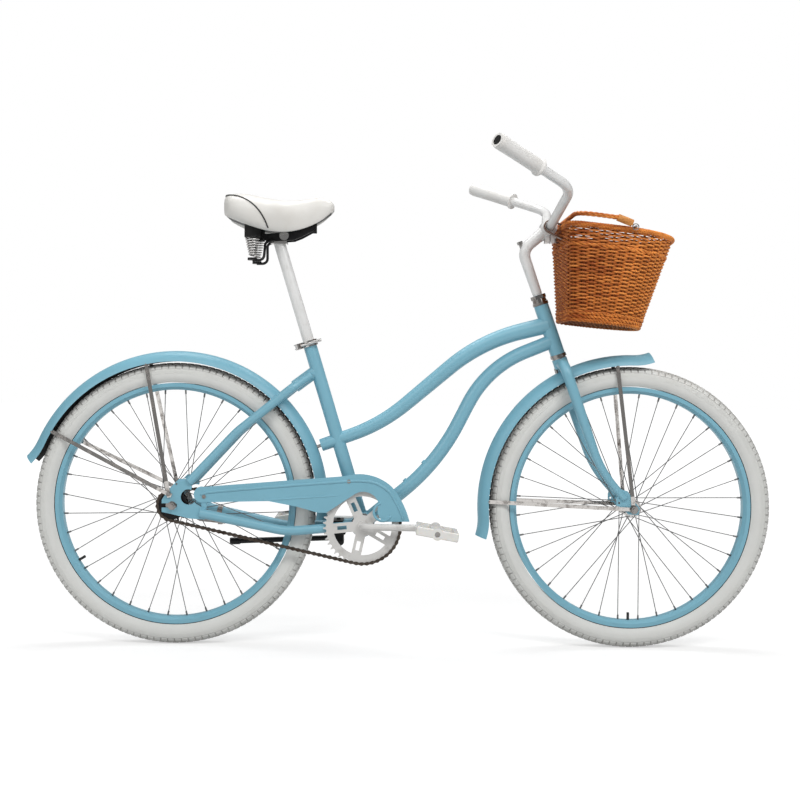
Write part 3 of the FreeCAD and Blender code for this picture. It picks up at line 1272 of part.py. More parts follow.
keep("saddle_frame", fuse("saddle_frame", saddle_plates, *rails))

lugs = []
for side in (-1, 1):
    word = "right" if side < 0 else "left"
    lug_high = recess_height(hinge_share) + 2
    lug = block(f"hinge_lug_{word}", "18", "3", f"{lug_high - hinge.z + 9}",
                Placement(hinge + Vector(-9, side * 16.5 - 1.5, -9), Rotation()))
    lug_bore = bar(f"hinge_lug_bore_{word}", "4 + Sizes.running_gap", "80", hinge - ACROSS * 40, ACROSS)
    lugs.append(cut(f"hinge_lug_cut_{word}", lug, lug_bore))
    cup_top = recess_height(spring_share) + 2
    lugs.append(bar(f"spring_cup_{word}", "19", f"{cup_top - spring_top - 0.2}",
                    Vector(spring_x, side * spring_side, spring_top + 0.2), UP))
keep("saddle_pan", fuse("saddle_pan", shaped("saddle_pan_tray", pan), *lugs))


# Conical springs: one wire each, wound on quarter-turn pairs of arcs
def arc_between(start, tangent, end):
    chord = end - start
    across = tangent - chord * (tangent.dot(chord) / chord.dot(chord))
    angle = tangent.getAngle(chord)
    middle = (start + end) * 0.5 + across.normalize() * (chord.Length / 2 * math.tan(angle / 2))
    return Part.Arc(start, middle, end).toShape()


def coil_point(turn, turns, foot):
    angle = 2 * math.pi * turn
    radius = 6.5 + 9.5 * turn / turns
    rise = size.spring_wire + (size.spring_height - 2 * size.spring_wire) * turn / turns
    return foot + Vector(radius * math.cos(angle), radius * math.sin(angle), rise)


def coil(foot, turns):
    edges = []
    quarter = 0.25
    for number in range(int(turns / quarter)):
        places = [coil_point(number * quarter + step, turns, foot) for step in (-1e-4, 0, 1e-4)]
        later = [coil_point((number + 1) * quarter + step, turns, foot) for step in (-1e-4, 0, 1e-4)]
        start, leave = places[1], (places[2] - places[0]).normalize()
        end, arrive = later[1], (later[2] - later[0]).normalize()
        gap_line = end - start
        both = leave + arrive
        spread = 2 * (1 - leave.dot(arrive))
        lead = gap_line.dot(both)
        reach_out = (-lead + math.sqrt(lead * lead + spread * gap_line.dot(gap_line))) / spread
        joint = (start + leave * reach_out + end - arrive * reach_out) * 0.5
        edges.append(arc_between(start, leave, joint))
        edges.append(arc_between(joint, (joint - (start + leave * reach_out)).normalize(), end))
    path = Part.Wire(edges)
    first = edges[0]
    ring = Part.Circle(first.valueAt(first.FirstParameter), first.tangentAt(first.FirstParameter),
                       size.spring_wire)
    return path.makePipeShell([Part.Wire(ring.toShape())], True, False)


spring_turns = 7.5
coils = [coil(Vector(spring_x, side * spring_side, spring_low), spring_turns) for side in (-1, 1)]
samples = [coil_point(spring_turns * step / 600, spring_turns, Vector()) for step in range(601)]
least = min((samples[i] - samples[j]).Length for i in range(601) for j in range(i + 50, 601))
print(f"spring coils clear one another by {least - 2 * size.spring_wire:.2f} mm")
keep("saddle_springs", shaped("saddle_springs", Part.makeCompound(coils)))

# Basket: tapered D-shaped shell open at the top, its rim band and the handle's pivot stubs
basket_place = Placement(clamp + Vector(26, 0, 3), Rotation(ACROSS, 6))


def d_edges(back, front, half, height):
    """Edges of the D-shaped outline: straight back, two corners, two sides and a bowed front."""
    corner = 30
    bend = corner * (1 - math.sqrt(0.5))
    side_end = back + 0.42 * (front - back)
    return [
        Part.LineSegment(Vector(back, half - corner, height),
                         Vector(back, corner - half, height)).toShape(),
        Part.Arc(Vector(back, corner - half, height), Vector(back + bend, bend - half, height),
                 Vector(back + corner, -half, height)).toShape(),
        Part.LineSegment(Vector(back + corner, -half, height), Vector(side_end, -half, height)).toShape(),
        Part.Arc(Vector(side_end, -half, height), Vector(front, 0, height),
                 Vector(side_end, half, height)).toShape(),
        Part.LineSegment(Vector(side_end, half, height), Vector(back + corner, half, height)).toShape(),
        Part.Arc(Vector(back + corner, half, height), Vector(back + bend, half - bend, height),
                 Vector(back, half - corner, height)).toShape(),
    ]


def basket_edges(down, out):
    """The basket's outline at a depth below the rim, moved outward by a step."""
    share = down / size.basket_height
    front = size.basket_depth * (1 - 0.20 * share)
    return d_edges(32 * share - out, front + out, size.basket_half_width * (1 - 0.25 * share) + out, -down)


def basket_loft(high, low, out):
    return Part.makeLoft([Part.Wire(basket_edges(low, out)), Part.Wire(basket_edges(high, out))],
                         True, True)


def stake_rib(travel):
    """The ridge that one upright stake makes in the weave, at a distance round the rim."""
    for top_edge, low_edge in zip(basket_edges(0, 0), basket_edges(size.basket_height, 0)):
        if travel <= top_edge.Length:
            share = travel / top_edge.Length
            break
        travel -= top_edge.Length
    outlines = []
    for edge in (low_edge, top_edge):
        place = edge.FirstParameter + share * (edge.LastParameter - edge.FirstParameter)
        way = edge.tangentAt(place)
        out = way.cross(UP)
        foot = edge.valueAt(place) - out * (size.basket_rib + 1)
        crest = edge.valueAt(place) + out * 0.4
        corners = [foot - way * 5, crest - way * 2.6, crest + way * 2.6, foot + way * 5]
        outlines.append(Part.makePolygon(corners + corners[:1]))
    return Part.makeLoft(outlines, True, True)


tall = size.basket_height
wall = size.basket_wall
half = size.basket_half_width
rim_length = sum(edge.Length for edge in basket_edges(0, 0))
stakes = int(size.basket_stakes)
ribs = [stake_rib(rim_length * number / stakes) for number in range(stakes)]
bands = [basket_loft(high, low, 0.9) for high, low in ((45, 55), (tall - 27, tall))]
top_inner = d_edges(wall, size.basket_depth - wall, half - wall, 2)
low_inner = d_edges(32 + wall, 0.80 * size.basket_depth - wall, 0.75 * half - wall, -tall + 9)
hollow = Part.makeLoft([Part.Wire(low_inner), Part.Wire(top_inner)], True, True)
shell = basket_loft(0, tall, -size.basket_rib).multiFuse(ribs + bands).cut(hollow)
rim_outer = Part.Face(Part.Wire(d_edges(-4, size.basket_depth + 4, half + 4, -15))).extrude(UP * 17)
rim_inner = Part.Face(Part.Wire(d_edges(wall, size.basket_depth - wall, half - wall, -16))).extrude(UP * 20)
shell = shell.fuse(rim_outer.cut(rim_inner))
handle_x = 168
for side in (-1, 1):
    stub = Part.makeCylinder(3, 22, Vector(handle_x - 20, side * (half - 6), -2), ACROSS * side)
    shell = shell.fuse(stub)
basket = shaped("basket", shell)
basket.Placement = basket_place
keep("basket", basket)

# Swinging cane handle, folded back over the rim, with a ring on each stub
arm_side = half + 12
handle_route = [Vector(handle_x - 20, -arm_side, -2), Vector(handle_x - 44, -arm_side, 14),
                Vector(14, -arm_side, 16),
                Vector(14, arm_side, 16), Vector(handle_x - 44, arm_side, 14),
                Vector(handle_x - 20, arm_side, -2)]
cane = swept("handle_cane", rounded_path(handle_route, [40, 45, 45, 40]), "5.5")
rings = [bar(f"handle_ring_{index}", "8", "9", Vector(handle_x - 20, side * arm_side - 4.5, -2), ACROSS)
         for index, side in enumerate((-1, 1))]
ring_hole = bar("handle_ring_hole", "3 + Sizes.running_gap", "420", Vector(handle_x - 20, -210, -2), ACROSS)
handle = cut("basket_handle", fuse("handle_body", cane, *rings), ring_hole)
handle.Placement = basket_place
keep("basket_handle", handle)


# Leather straps round the handlebar
def strap(name, near, far, width_way, inner, width):
    """A flat band that loops round two parallel bars."""
    way = (far - near).normalize()
    side = way.cross(width_way).normalize()

    def track(radius):
        edges = [
            Part.LineSegment(near + side * radius, far + side * radius).toShape(),
            Part.Arc(far + side * radius, far + way * radius, far - side * radius).toShape(),
            Part.LineSegment(far - side * radius, near - side * radius).toShape(),
            Part.Arc(near - side * radius, near - way * radius, near + side * radius).toShape(),
        ]
        return Part.Face(Part.Wire(edges))

    band = track(inner + 2.4).cut(track(inner))
    band.translate(width_way * (-width / 2))
    return shaped(name, band.extrude(width_way * width))


straps = []
for side in (-1, 1):
    word = "right" if side < 0 else "left"
    over_bar = clamp + ACROSS * side * 42
    in_basket = basket_place.multVec(Vector(6, side * 42, -18))
    straps.append(strap(f"bar_strap_{word}", over_bar, in_basket, ACROSS, size.bar_radius + 1.9, 16))
keep("basket_straps", group("basket_straps", *straps))

# Small screws on the frame and on the front end
stub_way = (rear_axle - stub_end).normalize()
screws.append(bar("fender_front_screw", "4", "15", stub_end + stub_way * -4, stub_way))
yoke_end = yoke_front + yoke_way * 66
yoke_drop = (rear_axle - yoke_end).normalize()
screws.append(bar("fender_yoke_screw", "4", f"{(yoke_end - rear_axle).Length - fender_radius + 2}",
                  yoke_end, yoke_drop))
keep("frame_screws", group("frame_screws", *screws))
crown_screw = bar("crown_screw", "4", "24", steer(crown_foot + 2, -16), -steer_up)
front_screws.append(crown_screw)
keep("front_screws", group("front_screws", *front_screws))


# Checking and writing the sub-parts
doc.recompute()
for item in doc.Objects:
    if "Invalid" in item.State or "Error" in item.State:
        raise RuntimeError(f"{item.Name} did not build: {item.State}")
os.makedirs("parts", exist_ok=True)
for label, piece in nodes.items():
    if piece.Shape.isNull() or not piece.Shape.isValid():
        raise RuntimeError(f"{label} has no valid shape")
    piece.Shape.exportStep(f"parts/{label}.step")
print(f"{len(nodes)} sub-parts written")
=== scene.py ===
import json
import math
import random

import bpy
from mathutils import Matrix, Vector


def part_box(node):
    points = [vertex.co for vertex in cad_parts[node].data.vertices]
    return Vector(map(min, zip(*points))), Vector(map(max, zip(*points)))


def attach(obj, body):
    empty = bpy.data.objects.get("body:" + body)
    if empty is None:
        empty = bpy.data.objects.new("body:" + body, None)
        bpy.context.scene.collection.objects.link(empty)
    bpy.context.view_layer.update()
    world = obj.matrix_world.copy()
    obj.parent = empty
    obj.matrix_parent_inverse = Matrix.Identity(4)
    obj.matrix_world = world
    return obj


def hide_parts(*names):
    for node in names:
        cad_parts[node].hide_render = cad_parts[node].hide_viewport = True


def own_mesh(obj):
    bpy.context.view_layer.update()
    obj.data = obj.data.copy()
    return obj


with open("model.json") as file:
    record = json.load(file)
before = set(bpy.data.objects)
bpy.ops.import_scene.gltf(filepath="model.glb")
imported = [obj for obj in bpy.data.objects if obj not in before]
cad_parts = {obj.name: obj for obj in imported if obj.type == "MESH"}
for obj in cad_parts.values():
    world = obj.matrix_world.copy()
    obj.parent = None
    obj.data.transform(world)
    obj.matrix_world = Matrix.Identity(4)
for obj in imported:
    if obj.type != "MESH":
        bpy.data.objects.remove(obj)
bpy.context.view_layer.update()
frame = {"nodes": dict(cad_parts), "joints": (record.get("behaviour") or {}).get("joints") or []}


# Frame: steel tubes welded together and sprayed with sky-blue enamel. The
# enamel is glossy, a little uneven in depth, and has the faint ripple of
# sprayed paint.
def feed(tree, socket, value):
    """Joins an input to another node's socket, or gives it a plain value."""
    if isinstance(value, bpy.types.NodeSocket):
        tree.links.new(value, socket)
    else:
        socket.default_value = value


def put(tree, kind, settings=None, **values):
    """Adds a node, sets its properties and feeds its named inputs."""
    made = tree.nodes.new(kind)
    for key, value in (settings or {}).items():
        setattr(made, key, value)
    for key, value in values.items():
        feed(tree, made.inputs[key.replace("_", " ")], value)
    return made


def noise(tree, place, **values):
    """A cloudy pattern over the surface, from 0 to 1."""
    return put(tree, "ShaderNodeTexNoise", Vector=place, **values).outputs["Fac"]


def spread(tree, source, low, high, to_low, to_high):
    """Maps a value between two limits to two others."""
    return put(tree, "ShaderNodeMapRange", Value=source, From_Min=low, From_Max=high,
               To_Min=to_low, To_Max=to_high).outputs["Result"]


def reckon(tree, operation, *values):
    """The result of one sum on sockets and plain numbers."""
    made = put(tree, "ShaderNodeMath", {"operation": operation})
    for socket, value in zip(made.inputs, values):
        feed(tree, socket, value)
    return made.outputs["Value"]


def blend_colours(tree, share, first, second):
    """Mixes two colours, each a socket or a plain colour, by a share socket."""
    made = put(tree, "ShaderNodeMix", {"data_type": "RGBA"}, Factor=share)
    feed(tree, made.inputs[6], first)
    feed(tree, made.inputs[7], second)
    return made.outputs[2]


def start_group(name, **inputs):
    """An empty surface group with named inputs, with what comes into it and its ends."""
    group = bpy.data.node_groups.new(name, "ShaderNodeTree")
    for key, default in inputs.items():
        kind = "NodeSocketColor" if isinstance(default, tuple) else "NodeSocketFloat"
        socket = group.interface.new_socket(key.replace("_", " "), in_out="INPUT", socket_type=kind)
        socket.default_value = default
    for label, kind in (("Colour", "Color"), ("Roughness", "Float"), ("Height", "Float")):
        group.interface.new_socket(label, in_out="OUTPUT", socket_type=f"NodeSocket{kind}")
    return group, group.nodes.new("NodeGroupInput").outputs, group.nodes.new("NodeGroupOutput").inputs


def end_group(group, ends, **results):
    """Joins a surface group's results to its ends."""
    for label, result in results.items():
        group.links.new(result, ends[label])


enamel_skin, skin_in, skin_out = start_group(
    "enamel_skin", Colour=(0.5, 0.5, 0.5, 1), Grime=(0.2, 0.18, 0.15, 1), Grime_Amount=0.1, Gloss=0.25)
place = put(enamel_skin, "ShaderNodeTexCoord").outputs["Object"]
broad = noise(enamel_skin, place, Scale=7.0, Detail=3.0)
ripple = noise(enamel_skin, place, Scale=60.0, Detail=0.0)
specks = noise(enamel_skin, place, Scale=45.0, Detail=2.0, Roughness=0.6)
tone = put(enamel_skin, "ShaderNodeHueSaturation", Color=skin_in["Colour"],
           Value=spread(enamel_skin, broad, 0.3, 0.7, 0.97, 1.03)).outputs["Color"]
dirt = reckon(enamel_skin, "MULTIPLY", spread(enamel_skin, specks, 0.55, 0.80, 0.0, 1.0),
              skin_in["Grime Amount"])
dull = reckon(enamel_skin, "ADD", skin_in["Gloss"], spread(enamel_skin, broad, 0.3, 0.7, -0.02, 0.04))
end_group(enamel_skin, skin_out, Colour=blend_colours(enamel_skin, dirt, tone, skin_in["Grime"]),
          Roughness=dull, Height=ripple)

BUMP_DEPTH = 0.0004


def finish(name, group, bump, shader=None, **values):
    """A material that takes its colour, roughness and bump from a surface group.

    The group's values are plain ones, or a word that names an attribute of the mesh."""
    made = bpy.data.materials.new(name)
    made.use_nodes = True
    tree = made.node_tree
    inputs = tree.nodes["Principled BSDF"].inputs
    for label, value in (shader or {}).items():
        inputs[label].default_value = value
    for key, value in values.items():
        if isinstance(value, str):
            values[key] = put(tree, "ShaderNodeAttribute", {"attribute_name": value}).outputs["Fac"]
    surface = put(tree, "ShaderNodeGroup", {"node_tree": group}, **values).outputs
    relief = put(tree, "ShaderNodeBump", Strength=bump, Distance=BUMP_DEPTH, Height=surface["Height"])
    tree.links.new(surface["Colour"], inputs["Base Color"])
    tree.links.new(surface["Roughness"], inputs["Roughness"])
    tree.links.new(relief.outputs["Normal"], inputs["Normal"])
    return made


def enamelled(name, colour, grime, amount, gloss, bump, shader=None):
    return finish(name, enamel_skin, bump, shader, Colour=colour, Grime=grime, Grime_Amount=amount,
                  Gloss=gloss)


def dress(material, *nodes):
    """Gives CAD nodes a material in place of the plain one."""
    for name in nodes:
        data = frame["nodes"][name].data
        data.materials.clear()
        data.materials.append(material)


SKY_BLUE = (0.196, 0.448, 0.562, 1)
BLUE_GRIME = (0.09, 0.14, 0.16, 1)
blue_enamel = enamelled("blue_enamel", SKY_BLUE, BLUE_GRIME, amount=0.05, gloss=0.42, bump=0.06,
                        shader={"Coat Weight": 0.35, "Coat Roughness": 0.30})
dress(blue_enamel, "head_tube", "top_tube", "down_tube", "seat_tube", "bottom_bracket_shell", "chain_stays",
      "seat_stays", "rear_dropouts")


# Fenders: rolled steel sheet in the same enamel, with near-black painted shade on
# the side that faces the tyre. Flat chromed strips hold them to the rear
# plates and the front axle.
def reckon_vector(tree, operation, *values):
    """The same for vectors: a length or a dot product comes out as a number."""
    made = put(tree, "ShaderNodeVectorMath", {"operation": operation})
    for socket, value in zip(made.inputs, values):
        feed(tree, socket, value)
    return made.outputs["Value" if operation in ("LENGTH", "DOT_PRODUCT") else "Vector"]


# Near-black painted shade for the inner side of each fender sheet.
INNER_FENDER_SHADE = (0.012, 0.013, 0.015, 1)


def fender_finish(name, hub):
    """The blue enamel, with near-black painted shade where the sheet faces its hub."""
    made = enamelled(name, SKY_BLUE, BLUE_GRIME, amount=0.06, gloss=0.40, bump=0.06)
    tree = made.node_tree
    enamel = next(item for item in tree.nodes if item.type == "GROUP").outputs["Colour"]
    place = put(tree, "ShaderNodeTexCoord").outputs["Object"]
    inward = reckon_vector(tree, "NORMALIZE", reckon_vector(tree, "SUBTRACT", hub, place))
    outer_way = put(tree, "ShaderNodeNewGeometry").outputs["True Normal"]
    inside = spread(tree, reckon_vector(tree, "DOT_PRODUCT", inward, outer_way), 0.05, 0.12, 0.0, 1.0)
    shader = tree.nodes["Principled BSDF"]
    tree.links.new(blend_colours(tree, inside, enamel, INNER_FENDER_SHADE), shader.inputs["Base Color"])
    return made


def joint_place(name):
    return next(joint for joint in frame["joints"] if joint["name"] == name)["pos_m"]


hubs = {end: joint_place(f"{end}_wheel_spin") for end in ("front", "rear")}
for end, hub in hubs.items():
    dress(fender_finish(f"{end}_fender_enamel", hub), f"{end}_fender")

bright_plate, plate_in, plate_out = start_group(
    "bright_plate", Colour=(0.8, 0.8, 0.8, 1), Tarnish=(0.2, 0.1, 0.05, 1), Tarnish_Amount=0.2, Gloss=0.12)
place = put(bright_plate, "ShaderNodeTexCoord").outputs["Object"]
patches = noise(bright_plate, place, Scale=34.0, Detail=8.0, Roughness=0.75)
brushed = noise(bright_plate, place, Scale=900.0, Detail=2.0)
stain = reckon(bright_plate, "MULTIPLY", spread(bright_plate, patches, 0.50, 0.68, 0.0, 1.0),
               plate_in["Tarnish Amount"])
end_group(bright_plate, plate_out,
          Colour=blend_colours(bright_plate, stain, plate_in["Colour"], plate_in["Tarnish"]),
          Roughness=reckon(bright_plate, "MULTIPLY_ADD", stain, 0.5, plate_in["Gloss"]), Height=brushed)


def plated(name, colour, tarnish, amount, gloss, bump):
    return finish(name, bright_plate, bump, {"Metallic": 1.0}, Colour=colour, Tarnish=tarnish,
                  Tarnish_Amount=amount, Gloss=gloss)


stay_chrome = plated("stay_chrome", (0.52, 0.50, 0.48, 1), (0.050, 0.026, 0.014, 1),
                     amount=0.80, gloss=0.12, bump=0.04)
dress(stay_chrome, "front_fender_stays", "rear_fender_stays")


# Head and bracket bearings, axles, nuts and screws: turned steel, chromed
# where it shows and zinc plated on the fasteners.
CHROME = (0.50, 0.49, 0.48, 1)
chrome = plated("chrome", CHROME, (0.16, 0.11, 0.07, 1), amount=0.25, gloss=0.12, bump=0.03)
dress(chrome, "bottom_bracket_cups", "crank_cones", "seat_clamp", "seat_clamp_lever", "saddle_clamp")
worn_chrome = plated("worn_chrome", (0.26, 0.25, 0.24, 1), (0.09, 0.06, 0.04, 1),
                     amount=0.6, gloss=0.18, bump=0.05)
dress(worn_chrome, "headset_cups", "headset_races")
zinc = plated("zinc", (0.30, 0.29, 0.28, 1), (0.08, 0.04, 0.02, 1), amount=0.55, gloss=0.30, bump=0.12)
dress(zinc, "front_axle", "rear_axle", "front_axle_nuts", "rear_axle_nuts", "brake_arm", "stem_bolts",
      "frame_screws", "front_screws", "pedal_spindles")


# Wheels: blue enamelled rims laced with steel spokes to chromed hubs, and
# off-white balloon tyres with small square tread blocks and ringed sidewalls.
dress(blue_enamel, "front_rim", "rear_rim")
spoke_steel = plated("spoke_steel", (0.17, 0.17, 0.17, 1), (0.07, 0.06, 0.05, 1),
                     amount=0.4, gloss=0.30, bump=0.02)
dress(spoke_steel, "front_spokes", "rear_spokes")
hub_chrome = plated("hub_chrome", CHROME, (0.10, 0.06, 0.035, 1), amount=0.6, gloss=0.16, bump=0.03)
dress(hub_chrome, "front_hub_shell", "rear_hub_shell")

TYRE_SECTION = 0.027
TYRE_RING = hubs["front"][2] - TYRE_SECTION
TREAD_PITCHES = 124
GROOVE = TYRE_SECTION - 0.0015
SIDEWALL = TYRE_SECTION - 0.0008
RING_TOP, RING_FOOT = SIDEWALL + 0.0006, SIDEWALL - 0.0002
CASING, CASING_EDGE = TYRE_SECTION - 0.003, 138
# Corners sunk below the tread face take dirt and painted shade, starting at this depth and reaching full over
# this span.
DIRT_SHADE_FROM, DIRT_SHADE_SPAN = 0.0007, 0.0006
TREAD_EDGE = math.radians(32)


def tyre_profile():
    """Degrees across the section, height of the skin, and the row of blocks that it carries."""
    profile = [(angle, SIDEWALL, None) for angle in (-CASING_EDGE, -124, -108, -94)]
    for foot in (-87, -81, -75, -69):
        profile += [(foot, SIDEWALL, None), (foot + 0.8, RING_TOP, None), (foot + 2.6, RING_TOP, None),
                    (foot + 3.4, RING_FOOT, None)]
    profile += [(-62, RING_FOOT, None)]
    profile += [(-60, GROOVE, None), (-58, None, 0), (-46, None, 0), (-36, None, 0), (-34, GROOVE, None)]
    profile += [(-30, GROOVE, None), (-28, None, 1), (-17, None, 1), (-8, None, 1), (-6, GROOVE, None)]
    mirrored = [(-angle, height, row) for angle, height, row in reversed(profile)]
    return profile + [(-3, GROOVE, None), (3, GROOVE, None)] + mirrored


def skin_rings(first, rings, size, closed, flip=False):
    """Faces that join rings of corners one after another, from the first corner's number."""
    faces = []
    for number in range(rings if closed else rings - 1):
        here, there = first + number * size, first + (number + 1) % rings * size
        for corner in range(size):
            after = (corner + 1) % size
            face = (here + corner, here + after, there + after, there + corner)
            faces.append((face[0], *face[:0:-1]) if flip else face)
    return faces


def tyre_spot(turn, angle, height):
    across = math.radians(angle)
    reach = TYRE_RING + height * math.cos(across)
    return reach * math.cos(turn), height * math.sin(across), reach * math.sin(turn)


def tyre_mesh(name):
    """Tread blocks raised round the casing, with the casing closed by an inner skin."""
    steps = [0.0, 0.04, 0.18, 0.22, 0.5, 0.54, 0.68, 0.72]
    raised = [{0.0, 0.22, 0.5, 0.54, 0.68, 0.72}, {0.0, 0.04, 0.18, 0.22, 0.5, 0.72}]
    profile = tyre_profile()
    inner = range(CASING_EDGE, -CASING_EDGE - 1, -23)
    verts, groove_dirt_and_shade = [], []
    for pitch in range(TREAD_PITCHES):
        for step in steps:
            turn = 2 * math.pi * (pitch + step) / TREAD_PITCHES
            for angle, height, row in profile:
                if row is not None:
                    height = TYRE_SECTION if step in raised[row] else GROOVE
                verts.append(tyre_spot(turn, angle, height))
                # Deeper corners get more dirt and painted shade; the feet of the sidewall rings get half as
                # much.
                deep = min(1.0, max(0.0, (TYRE_SECTION - height - DIRT_SHADE_FROM) / DIRT_SHADE_SPAN))
                groove_dirt_and_shade.append(deep if row is not None else 0.5 * deep)
            verts.extend(tyre_spot(turn, angle, CASING) for angle in inner)
            groove_dirt_and_shade.extend(0.0 for angle in inner)
    faces = skin_rings(0, TREAD_PITCHES * len(steps), len(profile) + len(inner), True, flip=True)
    data = bpy.data.meshes.new(name)
    data.from_pydata(verts, [], faces)
    data.shade_smooth()
    data.set_sharp_from_angle(angle=TREAD_EDGE)
    data.attributes.new("groove_dirt_and_shade", "FLOAT", "POINT").data.foreach_set("value", groove_dirt_and_shade)
    return data


# Dark grey for dirt and painted shade in the tread grooves and at the feet of the sidewall rings.
DIRT_AND_SHADE_GREY = (0.20, 0.19, 0.175, 1)
white_rubber, rubber_in, rubber_out = start_group(
    "white_rubber", Colour=(0.8, 0.8, 0.8, 1), Road_Grey=(0.3, 0.29, 0.27, 1), Worn_Radius=0.324, Soil=0.0)
place = put(white_rubber, "ShaderNodeTexCoord").outputs["Object"]
apart = put(white_rubber, "ShaderNodeSeparateXYZ", Vector=place).outputs
wheel_plane = put(white_rubber, "ShaderNodeCombineXYZ", X=apart["X"], Z=apart["Z"]).outputs["Vector"]
past_edge = reckon(white_rubber, "SUBTRACT", reckon_vector(white_rubber, "LENGTH", wheel_plane),
                   rubber_in["Worn Radius"])
smears = noise(white_rubber, place, Scale=22.0, Detail=7.0, Roughness=0.65)
grain = noise(white_rubber, place, Scale=700.0, Detail=3.0)
# The tread band outward of the grey radius is greyed: road dirt, plus painted shade where the tread turns
# away, patchy by the smears noise.
tread_grey_share = reckon(white_rubber, "MULTIPLY", spread(white_rubber, past_edge, -0.004, 0.006, 0.06, 0.85),
                     spread(white_rubber, smears, 0.32, 0.68, 0.25, 1.0))
tread_dirt_and_shade = blend_colours(white_rubber, tread_grey_share, rubber_in["Colour"], rubber_in["Road Grey"])
# Dirt and painted shade in the grooves, patchy by the smears noise.
dirt_and_shade_share = reckon(white_rubber, "MULTIPLY", rubber_in["Soil"],
                spread(white_rubber, smears, 0.3, 0.7, 0.30, 0.70))
end_group(white_rubber, rubber_out, Colour=blend_colours(white_rubber, dirt_and_shade_share, tread_dirt_and_shade, DIRT_AND_SHADE_GREY),
          Roughness=spread(white_rubber, smears, 0.3, 0.7, 0.52, 0.72), Height=grain)
tyre_rubber = finish("tyre_rubber", white_rubber, 0.25, Colour=(0.76, 0.765, 0.74, 1),
                     Road_Grey=(0.36, 0.355, 0.335, 1), Soil="groove_dirt_and_shade")

for end, hub in hubs.items():
    tyre = bpy.data.objects.new(f"{end}_tyre_tread", tyre_mesh(f"{end}_tyre_tread"))
    tyre.location = hub
    bpy.context.scene.collection.objects.link(tyre)
    tyre.data.materials.append(tyre_rubber)
    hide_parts(f"{end}_tyre")
    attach(tyre, f"{end}_wheel")

black_rubber = enamelled("black_rubber", (0.012, 0.012, 0.012, 1), (0.05, 0.05, 0.05, 1),
                         amount=0.3, gloss=0.6, bump=0.3)
dress(black_rubber, "front_inner_tube", "rear_inner_tube")


# Drive: white enamelled one-piece crank and slotted chainring, an oiled
# chain over a black sprocket, and a pressed blue guard with rolled beads.
cast_white = enamelled("cast_white", (0.66, 0.65, 0.63, 1), (0.22, 0.19, 0.16, 1),
                       amount=0.35, gloss=0.34, bump=0.10)
dress(cast_white, "crank", "chainring")
chain_steel = plated("chain_steel", (0.075, 0.062, 0.052, 1), (0.030, 0.018, 0.012, 1),
                     amount=0.9, gloss=0.36, bump=0.25)
dress(chain_steel, "chain")
black_enamel = enamelled("black_enamel", (0.010, 0.010, 0.011, 1), (0.10, 0.09, 0.08, 1),
                         amount=0.15, gloss=0.30, bump=0.08, shader={"Specular IOR Level": 0.18})
dress(black_enamel, "rear_sprocket")
dress(blue_enamel, "chain_guard")


def smooth_line(points, steps=8):
    """Points on a smooth line through the given ones."""
    spots = [Vector(point) for point in points]
    last = len(spots) - 1
    line = []
    for index in range(last):
        before, start, end, after = [spots[max(0, min(last, index + shift))] for shift in (-1, 0, 1, 2)]
        for step in range(steps):
            u = step / steps
            line.append(0.5 * (2 * start + (end - before) * u
                               + (2 * before - 5 * start + 4 * end - after) * u * u
                               + (3 * start - before - 3 * end + after) * u ** 3))
    return line + [spots[-1]]


def about(spot, across, beside, radius, angle):
    """The point at a radius and an angle round a spot, in the plane of two directions."""
    return spot + across * (radius * math.cos(angle)) + beside * (radius * math.sin(angle))


def lay_rod(shape, line, radius, sides=8, closed=False):
    """Adds a round rod along a line to a shape, which is a list of corners and a list of faces."""
    verts, faces = shape
    first, count = len(verts), len(line)
    normal = None
    for index, spot in enumerate(line):
        ahead = line[(index + 1) % count] if closed or index < count - 1 else spot
        behind = line[index - 1] if closed or index > 0 else spot
        way = (ahead - behind).normalized()
        if normal is None:
            normal = way.orthogonal()
        normal = (normal - way * normal.dot(way)).normalized()
        beside = way.cross(normal)
        verts.extend(about(spot, normal, beside, radius, 2 * math.pi * side / sides) for side in range(sides))
    faces.extend(skin_rings(first, count, sides, closed))
    if not closed:
        faces.append(tuple(first + side for side in reversed(range(sides))))
        faces.append(tuple(first + (count - 1) * sides + side for side in range(sides)))


CREASE_ANGLE = math.radians(50)


def make_piece(name, shape, material, body):
    """A mesh object from a shape, dressed and riding on a body."""
    data = bpy.data.meshes.new(name)
    data.from_pydata([tuple(corner) for corner in shape[0]], [], shape[1])
    data.shade_smooth()
    data.set_sharp_from_angle(angle=CREASE_ANGLE)
    data.materials.append(material)
    made = bpy.data.objects.new(name, data)
    bpy.context.scene.collection.objects.link(made)
    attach(made, body)
    return made


def lay_ridge(shape, line, half_width, height, out):
    """Adds a low rounded ridge along a line on a flat face, which faces out."""
    corners, taper_steps, sunk = 7, 4, 0.0001
    first, last = len(shape[0]), len(line) - 1
    for index, spot in enumerate(line):
        way = (line[min(index + 1, last)] - line[max(index - 1, 0)]).normalized()
        taper = min(1.0, (index + 1) / taper_steps, (len(line) - index) / taper_steps)
        for angle in (math.pi * step / (corners - 1) for step in range(corners)):
            shape[0].append(spot + way.cross(out) * (half_width * taper * math.cos(angle))
                            + out * (height * taper * math.sin(angle) - sunk))
    shape[1].extend(skin_rings(first, len(line), corners, False, flip=True))


